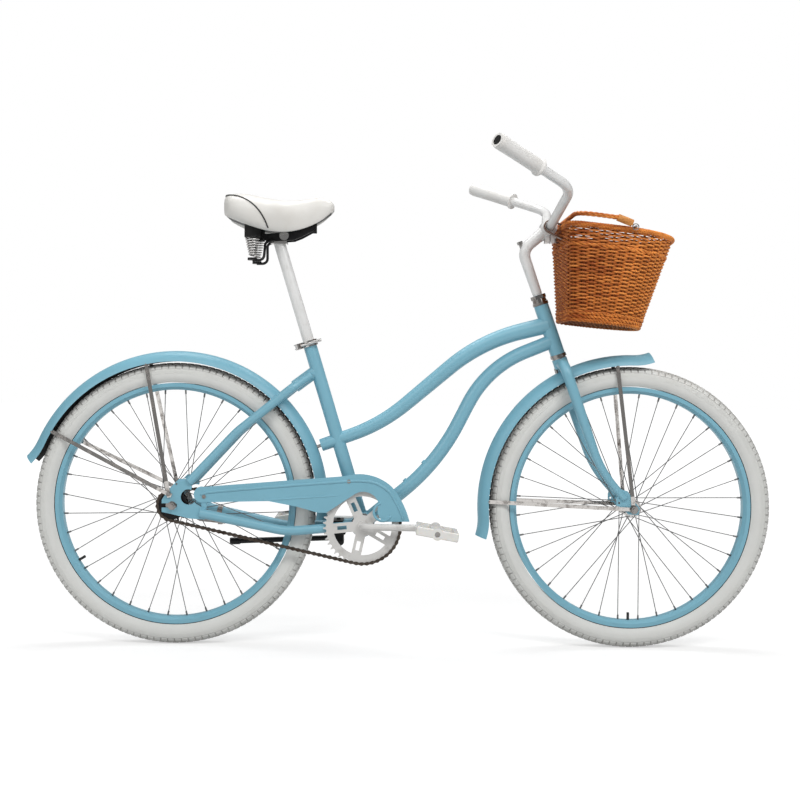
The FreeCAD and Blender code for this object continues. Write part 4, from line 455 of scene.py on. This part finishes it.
guard_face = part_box("chain_guard")[0].y
top_bead = [(-0.462, 0.357), (-0.452, 0.3625), (-0.430, 0.3660), (-0.300, 0.3778), (-0.125, 0.3925),
            (-0.080, 0.3935), (-0.050, 0.388), (-0.022, 0.370), (-0.006, 0.346), (0.006, 0.322),
            (0.0125, 0.3015)]
CURL_X, CURL_Z, CURL_REACH = -0.036, 0.322, 0.021
curl_bead = [(CURL_X + CURL_REACH * math.cos(turn), CURL_Z + CURL_REACH * math.sin(turn))
             for turn in (math.radians(angle) for angle in range(100, 341, 30))]
crease = [(-0.330, 0.3455), (-0.230, 0.3530), (-0.131, 0.3605)]
bead_sizes = ((top_bead, 0.0034, 0.0025), (curl_bead, 0.0030, 0.0020), (crease, 0.0024, 0.0013))
beads = ([], [])
for route, half_width, height in bead_sizes:
    line = smooth_line([(x, guard_face, z) for x, z in route])
    lay_ridge(beads, line, half_width, height, Vector((0, -1, 0)))
make_piece("chain_guard_beads", beads, blue_enamel, "frame")

COG_TEETH, RING_TEETH, CHAIN_PITCH = 18, 44, 0.0127
chain_line = sum(corner.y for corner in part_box("chain")) / 2
cog = Vector((hubs["rear"][0], chain_line, hubs["rear"][2]))
crank_centre = joint_place("crank_spin")
chainring = Vector((crank_centre[0], chain_line, crank_centre[2]))
cog_reach = CHAIN_PITCH / 2 / math.sin(math.pi / COG_TEETH)
ring_reach = CHAIN_PITCH / 2 / math.sin(math.pi / RING_TEETH)
run = chainring - cog
lean = math.asin((ring_reach - cog_reach) / run.length)
heading = math.atan2(run.z, run.x)
straight = run.length * math.cos(lean)
ring_wrap = ring_reach * (math.pi + 2 * lean)
cog_wrap = cog_reach * (math.pi - 2 * lean)
chain_loop = 2 * straight + ring_wrap + cog_wrap
link_count = 2 * round(chain_loop / (2 * CHAIN_PITCH))


def on_cog(angle):
    return cog + Vector((cog_reach * math.cos(angle), 0, cog_reach * math.sin(angle)))


def on_ring(angle):
    return chainring + Vector((ring_reach * math.cos(angle), 0, ring_reach * math.sin(angle)))


def pin_spot(travel):
    """Where a chain pin sits at a distance round the loop, from the start of the top run."""
    above, below = heading + math.pi / 2 + lean, heading - math.pi / 2 - lean
    travel %= chain_loop
    if travel < straight:
        return on_cog(above).lerp(on_ring(above), travel / straight)
    travel -= straight
    if travel < ring_wrap:
        return on_ring(above - travel / ring_reach)
    travel -= ring_wrap
    if travel < straight:
        return on_ring(below).lerp(on_cog(below), travel / straight)
    return on_cog(below - (travel - straight) / cog_reach)


LINK_END, LINK_WAIST, END_SWEEP, END_STEPS = 0.0042, 0.0024, math.radians(230), 8
INNER_PLATE, OUTER_PLATE = (0.0020, 0.0030), (0.0031, 0.0041)
PIN_HALF, PIN_RADIUS = 0.0046, 0.0018
ROLLER_HALF, ROLLER_RADIUS = 0.0019, 0.0039
FIRST_PIN = 0.003


def link_outline(start, end):
    """A link plate's waisted outline between two pins."""
    way = (end - start).normalized()
    beside = way.cross(Vector((0, 1, 0)))
    outline = []
    for centre, facing in ((end, 1), (start, -1)):
        outline += [about(centre, way, beside, facing * LINK_END, END_SWEEP * (step / END_STEPS - 0.5))
                    for step in range(END_STEPS + 1)]
        outline.append(start.lerp(end, 0.5) + beside * (facing * LINK_WAIST))
    return outline


links = ([], [])
pins = [pin_spot(number * chain_loop / link_count + FIRST_PIN) for number in range(link_count)]
for number, start in enumerate(pins):
    outline = link_outline(start, pins[(number + 1) % link_count])
    count = len(outline)
    for side in (-1, 1):
        first = len(links[0])
        for depth in OUTER_PLATE if number % 2 else INNER_PLATE:
            links[0].extend(corner + Vector((0, side * depth, 0)) for corner in outline)
        links[1].append(tuple(first + corner for corner in range(count)))
        links[1].append(tuple(first + count + corner for corner in reversed(range(count))))
        links[1].extend(skin_rings(first, 2, count, False))
    for half, radius, sides in ((PIN_HALF, PIN_RADIUS, 8), (ROLLER_HALF, ROLLER_RADIUS, 12)):
        lay_rod(links, [start + Vector((0, -half, 0)), start + Vector((0, half, 0))], radius, sides)
chain_links = make_piece("chain_links", links, chain_steel, "frame")
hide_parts("chain")

pedal_plastic = enamelled("pedal_plastic", (0.80, 0.79, 0.76, 1), (0.55, 0.47, 0.36, 1),
                          amount=0.25, gloss=0.20, bump=0.06,
                          shader={"Subsurface Weight": 0.35, "Subsurface Radius": (0.01, 0.008, 0.006),
                                  "Coat Weight": 0.3})
dress(pedal_plastic, "left_pedal", "right_pedal")


# Kickstand: a steel leg that swings on a tilted pivot, under plates clamped
# round the chain stays. Both are in black enamel.
dress(black_enamel, "kickstand", "kickstand_bracket")


# Seat post and sprung saddle: white enamelled post, black steel cradle, two
# conical coil springs, and a padded white vinyl cover sewn with black piping.
white_enamel = enamelled("white_enamel", (0.80, 0.80, 0.79, 1), (0.32, 0.29, 0.25, 1),
                         amount=0.18, gloss=0.20, bump=0.06, shader={"Coat Weight": 0.3})
dress(white_enamel, "seat_post")
dress(black_enamel, "saddle_frame")
black_plastic = enamelled("black_plastic", (0.012, 0.012, 0.012, 1), (0.06, 0.06, 0.06, 1),
                          amount=0.2, gloss=0.5, bump=0.35, shader={"Specular IOR Level": 0.18})
dress(black_plastic, "saddle_pan")

cover_low, cover_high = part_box("saddle_cover")
SPRING_FOOT = (cover_low.x + 0.0663, 0.050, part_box("saddle_springs")[0].z)
SPRING_HEIGHT, SPRING_WIRE = 0.046, 0.0019
SPRING_TURNS, TURN_STEPS = 7.5, 24
SPRING_LOW_REACH, SPRING_FLARE = 0.0065, 0.0095
for side, word in ((-1, "right"), (1, "left")):
    coil = ([], [])
    line = []
    for turn in (step / TURN_STEPS for step in range(int(SPRING_TURNS * TURN_STEPS) + 1)):
        share = turn / SPRING_TURNS
        reach = SPRING_LOW_REACH + SPRING_FLARE * share
        rise = SPRING_WIRE + (SPRING_HEIGHT - 2 * SPRING_WIRE) * share
        angle = 2 * math.pi * turn
        line.append(Vector((SPRING_FOOT[0] + reach * math.cos(angle),
                            side * SPRING_FOOT[1] + reach * math.sin(angle), SPRING_FOOT[2] + rise)))
    lay_rod(coil, line, SPRING_WIRE, 10)
    spring = make_piece(f"saddle_spring_{word}", coil, chrome, "post")
    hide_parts("saddle_springs")
    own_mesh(spring)

SADDLE_REAR, SADDLE_TOP = cover_low.x, cover_high.z - 0.004
SADDLE_LENGTH, SADDLE_HALF = cover_high.x - cover_low.x, cover_high.y
# A station is a share of the length, a share of the half width, and the top
# and bottom in mm from SADDLE_TOP.
SADDLE_STATIONS = [(0.00, 0.62, -2, -50), (0.06, 0.88, 4, -59), (0.22, 1.00, 4, -76), (0.40, 0.86, -4, -88),
                   (0.56, 0.56, -7, -88), (0.72, 0.36, -4, -78), (0.88, 0.28, 1, -58), (0.97, 0.22, -7, -38),
                   (1.00, 0.14, -16, -30)]
SADDLE_FLANK = [(-0.86, 0.00), (-0.94, 0.16), (-0.99, 0.32), (-1.00, 0.48), (-0.965, 0.64), (-0.88, 0.77),
                (-0.74, 0.875), (-0.54, 0.945), (-0.28, 0.985), (0.0, 1.0)]
SADDLE_HOLLOW = [(0.70, 0.03), (0.64, 0.16), (0.3, 0.2), (0.0, 0.2), (-0.3, 0.2), (-0.64, 0.16),
                 (-0.70, 0.03)]
TAIL_DRAW, NOSE_DRAW, DRAW_LEVEL = 0.93, 0.86, 0.55


def saddle_outline(share):
    """Half width, top and bottom of the cover at a share of its length, smooth between the stations."""
    number = next(n for n, station in enumerate(SADDLE_STATIONS[1:]) if share <= station[0])
    first, second = SADDLE_STATIONS[number:number + 2]
    before = SADDLE_STATIONS[max(0, number - 1)]
    after = SADDLE_STATIONS[min(len(SADDLE_STATIONS) - 1, number + 2)]
    span = second[0] - first[0]
    u = (share - first[0]) / span
    values = []
    for key in (1, 2, 3):
        enter = (second[key] - before[key]) / (second[0] - before[0]) * span
        leave = (after[key] - first[key]) / (after[0] - first[0]) * span
        values.append((2 * u ** 3 - 3 * u * u + 1) * first[key] + (u ** 3 - 2 * u * u + u) * enter
                      + (3 * u * u - 2 * u ** 3) * second[key] + (u ** 3 - u * u) * leave)
    return values[0] * SADDLE_HALF, SADDLE_TOP + values[1] / 1000, SADDLE_TOP + values[2] / 1000


def saddle_ring(share, draw=1.0):
    """Corners round the cover: up the right flank, over the crown, down the left and back underneath."""
    half, high, low = saddle_outline(share)
    tall = high - low
    middle = low + DRAW_LEVEL * tall
    shape = SADDLE_FLANK + [(-y, z) for y, z in reversed(SADDLE_FLANK[:-1])] + SADDLE_HOLLOW
    x = SADDLE_REAR + share * SADDLE_LENGTH
    return [Vector((x, draw * y * half, middle + draw * (low + z * tall - middle))) for y, z in shape]


shares = [0.012, 0.03] + [0.06 + 0.91 * step / 30 for step in range(31)] + [0.985, 0.995]
rings = [saddle_ring(share) for share in shares]
rings = [saddle_ring(0.0, TAIL_DRAW)] + rings + [saddle_ring(1.0, NOSE_DRAW)]
ring_size, last_ring = len(rings[0]), (len(rings) - 1) * len(rings[0])
saddle = ([corner for ring in rings for corner in ring], skin_rings(0, len(rings), ring_size, False))
saddle[1].append(tuple(reversed(range(ring_size))))
saddle[1].append(tuple(range(last_ring, last_ring + ring_size)))

vinyl_skin, vinyl_in, vinyl_out = start_group(
    "vinyl_skin", Colour=(0.8, 0.8, 0.8, 1), Shade=(0.5, 0.45, 0.38, 1), Grain_Scale=900.0)
place = put(vinyl_skin, "ShaderNodeTexCoord").outputs["Object"]
pebbles = put(vinyl_skin, "ShaderNodeTexVoronoi", {"feature": "SMOOTH_F1"}, Vector=place,
              Scale=vinyl_in["Grain Scale"]).outputs["Distance"]
handled = noise(vinyl_skin, place, Scale=16.0, Detail=5.0)
end_group(vinyl_skin, vinyl_out,
          Colour=blend_colours(vinyl_skin, spread(vinyl_skin, handled, 0.45, 0.8, 0.0, 0.35),
                               vinyl_in["Colour"], vinyl_in["Shade"]),
          Roughness=spread(vinyl_skin, handled, 0.3, 0.7, 0.36, 0.50), Height=pebbles)
white_vinyl = finish("white_vinyl", vinyl_skin, 0.12, Colour=(0.75, 0.735, 0.70, 1),
                     Shade=(0.55, 0.51, 0.45, 1))

cushion = make_piece("saddle_cushion", saddle, white_vinyl, "saddle")
rounding = cushion.modifiers.new("rounding", "SUBSURF")
rounding.levels = rounding.render_levels = 1
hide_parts("saddle_cover")

PIPING_RADIUS, PIPING_PROUD = 0.0016, 0.0004


def on_saddle(share, height, side):
    """The point on the cover's flank at a share of its length and a height, standing just proud."""
    flank = saddle_ring(share)[:len(SADDLE_FLANK)]
    for low, high in zip(flank, flank[1:]):
        if low.z <= height <= high.z:
            spot = low.lerp(high, (height - low.z) / (high.z - low.z))
            return Vector((spot.x, side * -(spot.y - PIPING_PROUD), spot.z))
    nearest = flank[-1] if height > flank[-1].z else flank[0]
    return Vector((nearest.x, side * -nearest.y, nearest.z))


piping = ([], [])
seam = [(0.415, 0.9795), (0.385, 0.9985), (0.335, 1.0185), (0.26, 1.0365), (0.16, 1.0500), (0.06, 1.0555),
        (0.012, 1.0560)]
right_run = [on_saddle(share, height, -1) for share, height in seam]
left_run = [on_saddle(share, height, 1) for share, height in reversed(seam)]
lay_rod(piping, smooth_line(right_run + left_run, 6), PIPING_RADIUS, 8)
black_piping = finish("black_piping", vinyl_skin, 0.2, Colour=(0.010, 0.010, 0.010, 1),
                      Shade=(0.03, 0.03, 0.03, 1))
make_piece("saddle_piping", piping, black_piping, "saddle")


# Steering: a blue fork under a white enamelled stem and swept bar, with soft
# white grips that end in a collar and a black plug.
dress(blue_enamel, "fork")
dress(white_enamel, "stem", "handlebar")
dress(black_plastic, "grip_plugs")
grip_rubber = finish("grip_rubber", vinyl_skin, 0.06, Colour=(0.80, 0.79, 0.77, 1),
                     Shade=(0.58, 0.54, 0.48, 1))
dress(grip_rubber, "grips")


# Basket: honey-brown willow, woven in and out round upright stakes, with
# twisted borders, and hung on the bar by brown leather straps.
EYE_X, EYE_Z = 0.148, -0.002
BASKET_TILT = Matrix.Rotation(math.radians(6), 4, "Y")
BASKET_BACK = Vector(joint_place("basket_handle_swing")) - BASKET_TILT @ Vector((EYE_X, 0, EYE_Z))
BASKET_TALL, BASKET_DEEP, BASKET_HALF = 0.224, 0.270, 0.158
FLOOR_BACK, FLOOR_FRONT, FLOOR_HALF = 0.032, 0.80 * BASKET_DEEP, 0.75 * BASKET_HALF
WALL_INSET = 0.0035
CORNER, SIDE_SHARE = 0.030, 0.42
BACK_STEPS, CORNER_STEPS, SIDE_STEPS, BOW_STEPS = 44, 10, 14, 104
STAKES = 40


def basket_spot(x, y, z):
    """A place measured from the middle of the rim's back, in the tilted basket."""
    return BASKET_BACK + BASKET_TILT @ Vector((x, y, z))


def d_outline(back, front, half):
    """Points round the D-shaped basket, in the same order at any level."""
    back, front, half = back + WALL_INSET, front - WALL_INSET, half - WALL_INSET
    side_end = back + SIDE_SHARE * (front - back)
    side_run = side_end - back - CORNER
    reach = front - side_end
    bow = (reach * reach + half * half) / (2 * reach)
    sweep = math.atan2(half, bow - reach) if bow > reach else math.pi - math.atan2(half, reach - bow)
    quarter = [math.pi / 2 * i / CORNER_STEPS for i in range(CORNER_STEPS)]
    points = [(back, (half - CORNER) * (1 - 2 * i / BACK_STEPS)) for i in range(BACK_STEPS)]
    points += [(back + CORNER - CORNER * math.cos(a), CORNER - half - CORNER * math.sin(a)) for a in quarter]
    points += [(back + CORNER + side_run * i / SIDE_STEPS, -half) for i in range(SIDE_STEPS)]
    points += [(front - bow + bow * math.cos(a), bow * math.sin(a))
               for a in (-sweep + 2 * sweep * i / BOW_STEPS for i in range(BOW_STEPS))]
    points += [(side_end - side_run * i / SIDE_STEPS, half) for i in range(SIDE_STEPS)]
    points += [(back + CORNER - CORNER * math.sin(a), half - CORNER + CORNER * math.cos(a)) for a in quarter]
    return [Vector((x, y, 0)) for x, y in points]


top_level = d_outline(0.0, BASKET_DEEP, BASKET_HALF)
low_level = d_outline(FLOOR_BACK, FLOOR_FRONT, FLOOR_HALF)
top_lengths = [0.0]
for here, there in zip(top_level, top_level[1:] + top_level[:1]):
    top_lengths.append(top_lengths[-1] + (there - here).length)


def wall_point(turn, depth, out=0.0):
    """A point on the basket's wall: a share of the way round, a depth below the rim, and a step outward."""
    target = (turn % 1.0) * top_lengths[-1]
    low, high = 0, len(top_level)
    while high - low > 1:
        half_way = (low + high) // 2
        if top_lengths[half_way] <= target:
            low = half_way
        else:
            high = half_way
    u = (target - top_lengths[low]) / (top_lengths[low + 1] - top_lengths[low])
    after = (low + 1) % len(top_level)
    fall = depth / BASKET_TALL
    here = top_level[low].lerp(low_level[low], fall)
    there = top_level[after].lerp(low_level[after], fall)
    way = (there - here).normalized()
    spot = here.lerp(there, u) + Vector((way.y, -way.x, 0)) * out
    return basket_spot(spot.x, spot.y, -depth)


rng = random.Random(7)
weave = ([], [])
tucked = []


def weave_rod(line, radius, sides, closed, tucks):
    """Lays a rod in the weave and notes how deep each of its corners is tucked behind the others, which sets
    its painted shade.
    """
    lay_rod(weave, line, radius, sides, closed)
    for tuck in tucks:
        tucked.extend([tuck] * sides)


ROD, ROW_GAP, FIRST_ROW, BORDERS = 0.0022, 0.0041, 0.014, 0.030
ROD_SWING, ROD_REST, ROD_WANDER = 0.0029, -0.0003, 0.0003
GAP_STEPS = 6
for row in range(int((BASKET_TALL - BORDERS) / ROW_GAP)):
    slant = rng.uniform(-0.0004, 0.0004)
    thick = ROD * rng.uniform(0.94, 1.12)
    line, tucks = [], []
    for step in range(STAKES * GAP_STEPS):
        swing = math.cos(math.pi * step / GAP_STEPS + math.pi * row)
        depth = FIRST_ROW + ROW_GAP * row + slant + ROD_WANDER * math.sin(step * 0.11 + row)
        line.append(wall_point(step / (STAKES * GAP_STEPS), depth, ROD_SWING * swing + ROD_REST))
        tucks.append(max(0.0, min(1.0, 0.10 - 0.85 * swing)))
    weave_rod(line, thick, 6, True, tucks)

STAKE_ROD, STAKE_SHIFT, STAKE_TUCK = 0.0017, 0.0016, 0.55
STAKE_TOP, STAKE_LENGTH = 0.006, BASKET_TALL - 0.010
for stake in range(STAKES):
    for turn in (stake / STAKES - STAKE_SHIFT, stake / STAKES + STAKE_SHIFT):
        line = [wall_point(turn, STAKE_TOP + STAKE_LENGTH * step / 6) for step in range(7)]
        weave_rod(line, STAKE_ROD, 6, False, [STAKE_TUCK] * len(line))


def twisted_band(depth, strands, strand_radius, twist_radius, turns, steps, out):
    """Strands wound round one another all the way round the basket."""
    for strand in range(strands):
        line, tucks = [], []
        for step in range(steps):
            angle = 2 * math.pi * (turns * step / steps + strand / strands)
            line.append(wall_point(step / steps, depth + twist_radius * math.sin(angle),
                                   out + twist_radius * math.cos(angle)))
            tucks.append(max(0.0, -0.7 * math.cos(angle)))
        weave_rod(line, strand_radius, 7, True, tucks)


twisted_band(0.0065, strands=4, strand_radius=0.0029, twist_radius=0.0036, turns=40, steps=560, out=0.0020)
for depth in (0.050, BASKET_TALL - 0.022, BASKET_TALL - 0.013):
    twisted_band(depth, strands=3, strand_radius=0.0023, twist_radius=0.0030, turns=20, steps=400, out=0.0002)
twisted_band(BASKET_TALL - 0.005, strands=3, strand_radius=0.0026, twist_radius=0.0030, turns=26, steps=416,
             out=-0.0006)

FLOOR_Z = 0.006 - BASKET_TALL
FLOOR_ROD, FLOOR_RODS, FLOOR_FIRST, FLOOR_GAP = 0.0024, 31, 0.037, 0.0055
FLOOR_SWAY, FLOOR_TUCK, END_CLEARANCE = 0.0016, 0.75, 0.003
RIB_ROD, RIB_GAP, RIBS_EACH_SIDE, RIB_TUCK = 0.0026, 0.024, 4, 0.80
for row in range(FLOOR_RODS):
    x = FLOOR_FIRST + FLOOR_GAP * row
    half = max(abs(point.y) for point in low_level if abs(point.x - x) < 0.004) - END_CLEARANCE
    line = []
    for y in (-half + 2 * half * step / 40 for step in range(41)):
        sway = FLOOR_SWAY * math.cos(math.pi * y / RIB_GAP + math.pi * row)
        line.append(basket_spot(x, y, FLOOR_Z + sway))
    weave_rod(line, FLOOR_ROD, 6, False, [FLOOR_TUCK] * len(line))
for rib in range(-RIBS_EACH_SIDE, RIBS_EACH_SIDE + 1):
    y = rib * RIB_GAP
    reach = [point.x for point in low_level if abs(point.y - y) < 0.003]
    line = [basket_spot(min(reach) + (max(reach) - min(reach)) * step / 6, y, FLOOR_Z) for step in range(7)]
    weave_rod(line, RIB_ROD, 6, False, [RIB_TUCK] * len(line))

# Willow bark over a random rod and fibre tone, with painted shade in the hollows where a rod is tucked behind
# others.
willow_bark, bark_in, bark_out = start_group(
    "willow_bark", Light=(0.6, 0.3, 0.1, 1), Dark=(0.15, 0.05, 0.01, 1), Hollow=(0.045, 0.009, 0.0015, 1),
    Tuck=0.0, Row_Scale=200.0)
place = put(willow_bark, "ShaderNodeTexCoord").outputs["Object"]
stretch = put(willow_bark, "ShaderNodeCombineXYZ", X=26.0, Y=26.0, Z=bark_in["Row Scale"]).outputs["Vector"]
rods = noise(willow_bark, reckon_vector(willow_bark, "MULTIPLY", place, stretch), Scale=1.0, Detail=2.0)
fibre = noise(willow_bark, place, Scale=420.0, Detail=4.0, Roughness=0.7)
# Painted shade: the bark is darker towards the rear of the basket and lighter towards the front, added to the
# random rod and fibre tone.
ahead = put(willow_bark, "ShaderNodeSeparateXYZ", Vector=place).outputs["X"]
tone_and_rear_shade = reckon(willow_bark, "ADD", reckon(willow_bark, "MULTIPLY_ADD", fibre, 0.35, rods),
                  spread(willow_bark, ahead, 0.40, 0.60, 0.14, -0.14))
bark = blend_colours(willow_bark, spread(willow_bark, tone_and_rear_shade, 0.45, 0.90, 0.0, 1.0),
                     bark_in["Light"], bark_in["Dark"])
matted = reckon(willow_bark, "MULTIPLY_ADD", bark_in["Tuck"], 0.35,
                spread(willow_bark, fibre, 0.3, 0.7, 0.46, 0.64))
# Tucked corners are painted towards the dark hollow shade.
end_group(willow_bark, bark_out, Colour=blend_colours(willow_bark, bark_in["Tuck"], bark, bark_in["Hollow"]),
          Roughness=matted, Height=fibre)
willow = finish("willow", willow_bark, 0.35, {"Specular IOR Level": 0.22}, Light=(0.95, 0.350, 0.075, 1),
                Dark=(0.34, 0.078, 0.012, 1), Tuck="tuck")
basket = make_piece("basket_weave", weave, willow, "front_end")
basket.data.attributes.new("tuck", "FLOAT", "POINT").data.foreach_set("value", tucked)
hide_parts("basket")

strap_leather = finish("strap_leather", vinyl_skin, 0.5, Colour=(0.115, 0.045, 0.018, 1),
                       Shade=(0.035, 0.013, 0.006, 1), Grain_Scale=700.0)
dress(strap_leather, "basket_straps")


# Carrying handle: three canes twisted together, whipped at the ends and
# hooked to the rim by loops of wire, so it swings over the opening.
def arched(points, radii, steps=10):
    """A line with its corners rounded to the given radii."""
    line = [points[0]]
    for index, radius in enumerate(radii, start=1):
        here = points[index]
        back, ahead = (points[index - 1] - here).normalized(), (points[index + 1] - here).normalized()
        trim = radius / math.tan(back.angle(ahead) / 2)
        start, end = here + back * trim, here + ahead * trim
        for u in (step / steps for step in range(steps + 1)):
            line.append(start * (1 - u) ** 2 + here * 2 * u * (1 - u) + end * u * u)
    return line + [points[-1]]


def even_line(line, gap):
    """The same line with points a constant gap apart."""
    spaced = [line[0]]
    left = gap
    for here, there in zip(line, line[1:]):
        run = (there - here).length
        done = 0.0
        while run - done >= left:
            done += left
            spaced.append(here.lerp(there, done / run))
            left = gap
        left -= run - done
    return spaced


HANDLE_SIDE, HANDLE_STEP = 0.170, 0.003
CANES, CANE_RADIUS, TWIST_RADIUS, TWIST_LENGTH = 3, 0.0030, 0.0026, 0.036
HANDLE_BENDS = [(0.140, 0.005), (0.124, 0.014), (0.014, 0.016)]
handle_corners = [basket_spot(x, -HANDLE_SIDE, z) for x, z in HANDLE_BENDS]
handle_corners += [basket_spot(x, HANDLE_SIDE, z) for x, z in reversed(HANDLE_BENDS)]
handle_line = even_line(arched(handle_corners, [0.020, 0.045, 0.045, 0.020]), HANDLE_STEP)
handle = ([], [])
for cane in range(CANES):
    line = []
    normal = None
    for index, spot in enumerate(handle_line):
        ahead = handle_line[min(index + 1, len(handle_line) - 1)]
        way = (ahead - handle_line[max(index - 1, 0)]).normalized()
        normal = way.orthogonal() if normal is None else (normal - way * normal.dot(way))
        normal.normalize()
        angle = 2 * math.pi * (index * HANDLE_STEP / TWIST_LENGTH + cane / CANES)
        line.append(about(spot, normal, way.cross(normal), TWIST_RADIUS, angle))
    lay_rod(handle, line, CANE_RADIUS, 7)
handle_piece = make_piece("basket_handle_cane", handle, willow, "handle")
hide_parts("basket_handle")

WHIPPED_POINTS, WHIPPING_TURNS, WHIPPING_STEPS = 13, 19, 10
WHIPPING_REACH, WHIPPING_RADIUS = 0.0057, 0.0010
whipping = ([], [])
for end in (handle_line[:WHIPPED_POINTS], handle_line[-WHIPPED_POINTS:]):
    way = (end[-1] - end[0]).normalized()
    normal = way.orthogonal()
    count = WHIPPING_TURNS * WHIPPING_STEPS
    line = [about(end[0].lerp(end[-1], step / (count - 1)), normal, way.cross(normal), WHIPPING_REACH,
                  2 * math.pi * step / WHIPPING_STEPS) for step in range(count)]
    lay_rod(whipping, line, WHIPPING_RADIUS, 5)
split_cane = finish("split_cane", willow_bark, 0.35, Light=(0.86, 0.42, 0.12, 1), Dark=(0.52, 0.20, 0.04, 1))
make_piece("basket_handle_whipping", whipping, split_cane, "handle")

EYE_REACH, EYE_WIRE, SHANK_WIRE = 0.0068, 0.0012, 0.0014
PIN_END, EYE_PIN = 0.176, 0.0028
loops, eye_pins = ([], []), ([], [])
for side in (-1, 1):
    eye = [basket_spot(EYE_X + EYE_REACH * math.cos(a), side * HANDLE_SIDE, EYE_Z + EYE_REACH * math.sin(a))
           for a in (2 * math.pi * step / 24 for step in range(24))]
    lay_rod(loops, eye, EYE_WIRE, 7, True)
    shank = [basket_spot(x, side * HANDLE_SIDE, z) for x, z in ((0.1425, 0.0022), (0.134, 0.004))]
    lay_rod(loops, shank, SHANK_WIRE, 7)
    pin = [basket_spot(EYE_X, side * y, EYE_Z) for y in (BASKET_HALF - 0.004, PIN_END)]
    lay_rod(eye_pins, pin, EYE_PIN, 10)
make_piece("basket_handle_wire", loops, zinc, "handle")
make_piece("basket_handle_pins", eye_pins, zinc, "front_end")


# Studio: a pale floor in white air, four soft lamps ahead, at the sides and
# above, and the camera at the photograph's height and distance.
floor_data = bpy.data.meshes.new("studio_floor")
floor_data.from_pydata([(-14, -12, 0), (14, -12, 0), (14, 16, 0), (-14, 16, 0)], [], [(0, 1, 2, 3)])
floor = bpy.data.objects.new("studio_floor", floor_data)
bpy.context.scene.collection.objects.link(floor)
floor_paint = bpy.data.materials.new("studio_white")
floor_paint.use_nodes = True
tree = floor_paint.node_tree
tree.nodes.clear()
rays = put(tree, "ShaderNodeLightPath").outputs
shown = reckon(tree, "MAXIMUM", rays["Is Camera Ray"], rays["Is Glossy Ray"])
seen = reckon(tree, "MAXIMUM", shown, rays["Is Transmission Ray"])
distance = reckon_vector(tree, "LENGTH", put(tree, "ShaderNodeTexCoord").outputs["Object"])
lift = reckon(tree, "MULTIPLY", seen, spread(tree, distance, 0.9, 4.5, 0.49, 0.90))
matte = put(tree, "ShaderNodeBsdfDiffuse", Color=(0.62, 0.62, 0.62, 1))
glow = put(tree, "ShaderNodeEmission", Color=(1, 1, 1, 1), Strength=lift)
total = put(tree, "ShaderNodeAddShader")
tree.links.new(matte.outputs[0], total.inputs[0])
tree.links.new(glow.outputs[0], total.inputs[1])
tree.links.new(total.outputs[0], put(tree, "ShaderNodeOutputMaterial").inputs["Surface"])
floor_data.materials.append(floor_paint)

world = bpy.data.worlds.new("studio_air")
bpy.context.scene.world = world
world.use_nodes = True
tree = world.node_tree
tree.nodes.clear()
rays = put(tree, "ShaderNodeLightPath").outputs
shown = reckon(tree, "MAXIMUM", rays["Is Camera Ray"], rays["Is Transmission Ray"])
air = put(tree, "ShaderNodeBackground", Color=(1, 1, 1, 1),
          Strength=spread(tree, shown, 0.0, 1.0, 0.30, 1.0))
tree.links.new(air.outputs[0], put(tree, "ShaderNodeOutputWorld").inputs["Surface"])

LAMP_AIM = Vector((0.0, 0.0, 0.6))


def softbox(name, spot, size, power):
    lamp = bpy.data.lights.new(name, "AREA")
    lamp.shape = "RECTANGLE"
    lamp.size, lamp.size_y = size
    lamp.energy = power
    made = bpy.data.objects.new(name, lamp)
    made.location = spot
    made.rotation_euler = (LAMP_AIM - Vector(spot)).to_track_quat("-Z", "Y").to_euler()
    bpy.context.scene.collection.objects.link(made)


softbox("key_lamp", (1.9, -2.4, 2.7), size=(1.8, 1.4), power=36)
softbox("strip_lamp", (0.2, -1.9, 2.6), size=(3.2, 0.30), power=26)
softbox("fill_lamp", (-2.4, -2.2, 1.9), size=(1.8, 1.6), power=22)
softbox("top_lamp", (0.0, 0.6, 3.2), size=(2.6, 1.2), power=46)

PICTURE_PIXELS = 800
CAMERA_SPOT, CAMERA_ROLL = (-0.034, -2.80, 0.665), math.radians(0.53)
camera_data = bpy.data.cameras.new("camera")
camera_data.lens = 52.9
camera_data.sensor_width = 36.0
camera_data.shift_x = 15 / PICTURE_PIXELS
camera_data.shift_y = -35 / PICTURE_PIXELS
camera = bpy.data.objects.new("camera", camera_data)
camera.matrix_world = (Matrix.Translation(CAMERA_SPOT) @ Matrix.Rotation(math.radians(90), 4, "X")
                       @ Matrix.Rotation(CAMERA_ROLL, 4, "Z"))
bpy.context.scene.collection.objects.link(camera)
bpy.context.scene.camera = camera
bpy.context.scene.view_settings.view_transform = "Standard"
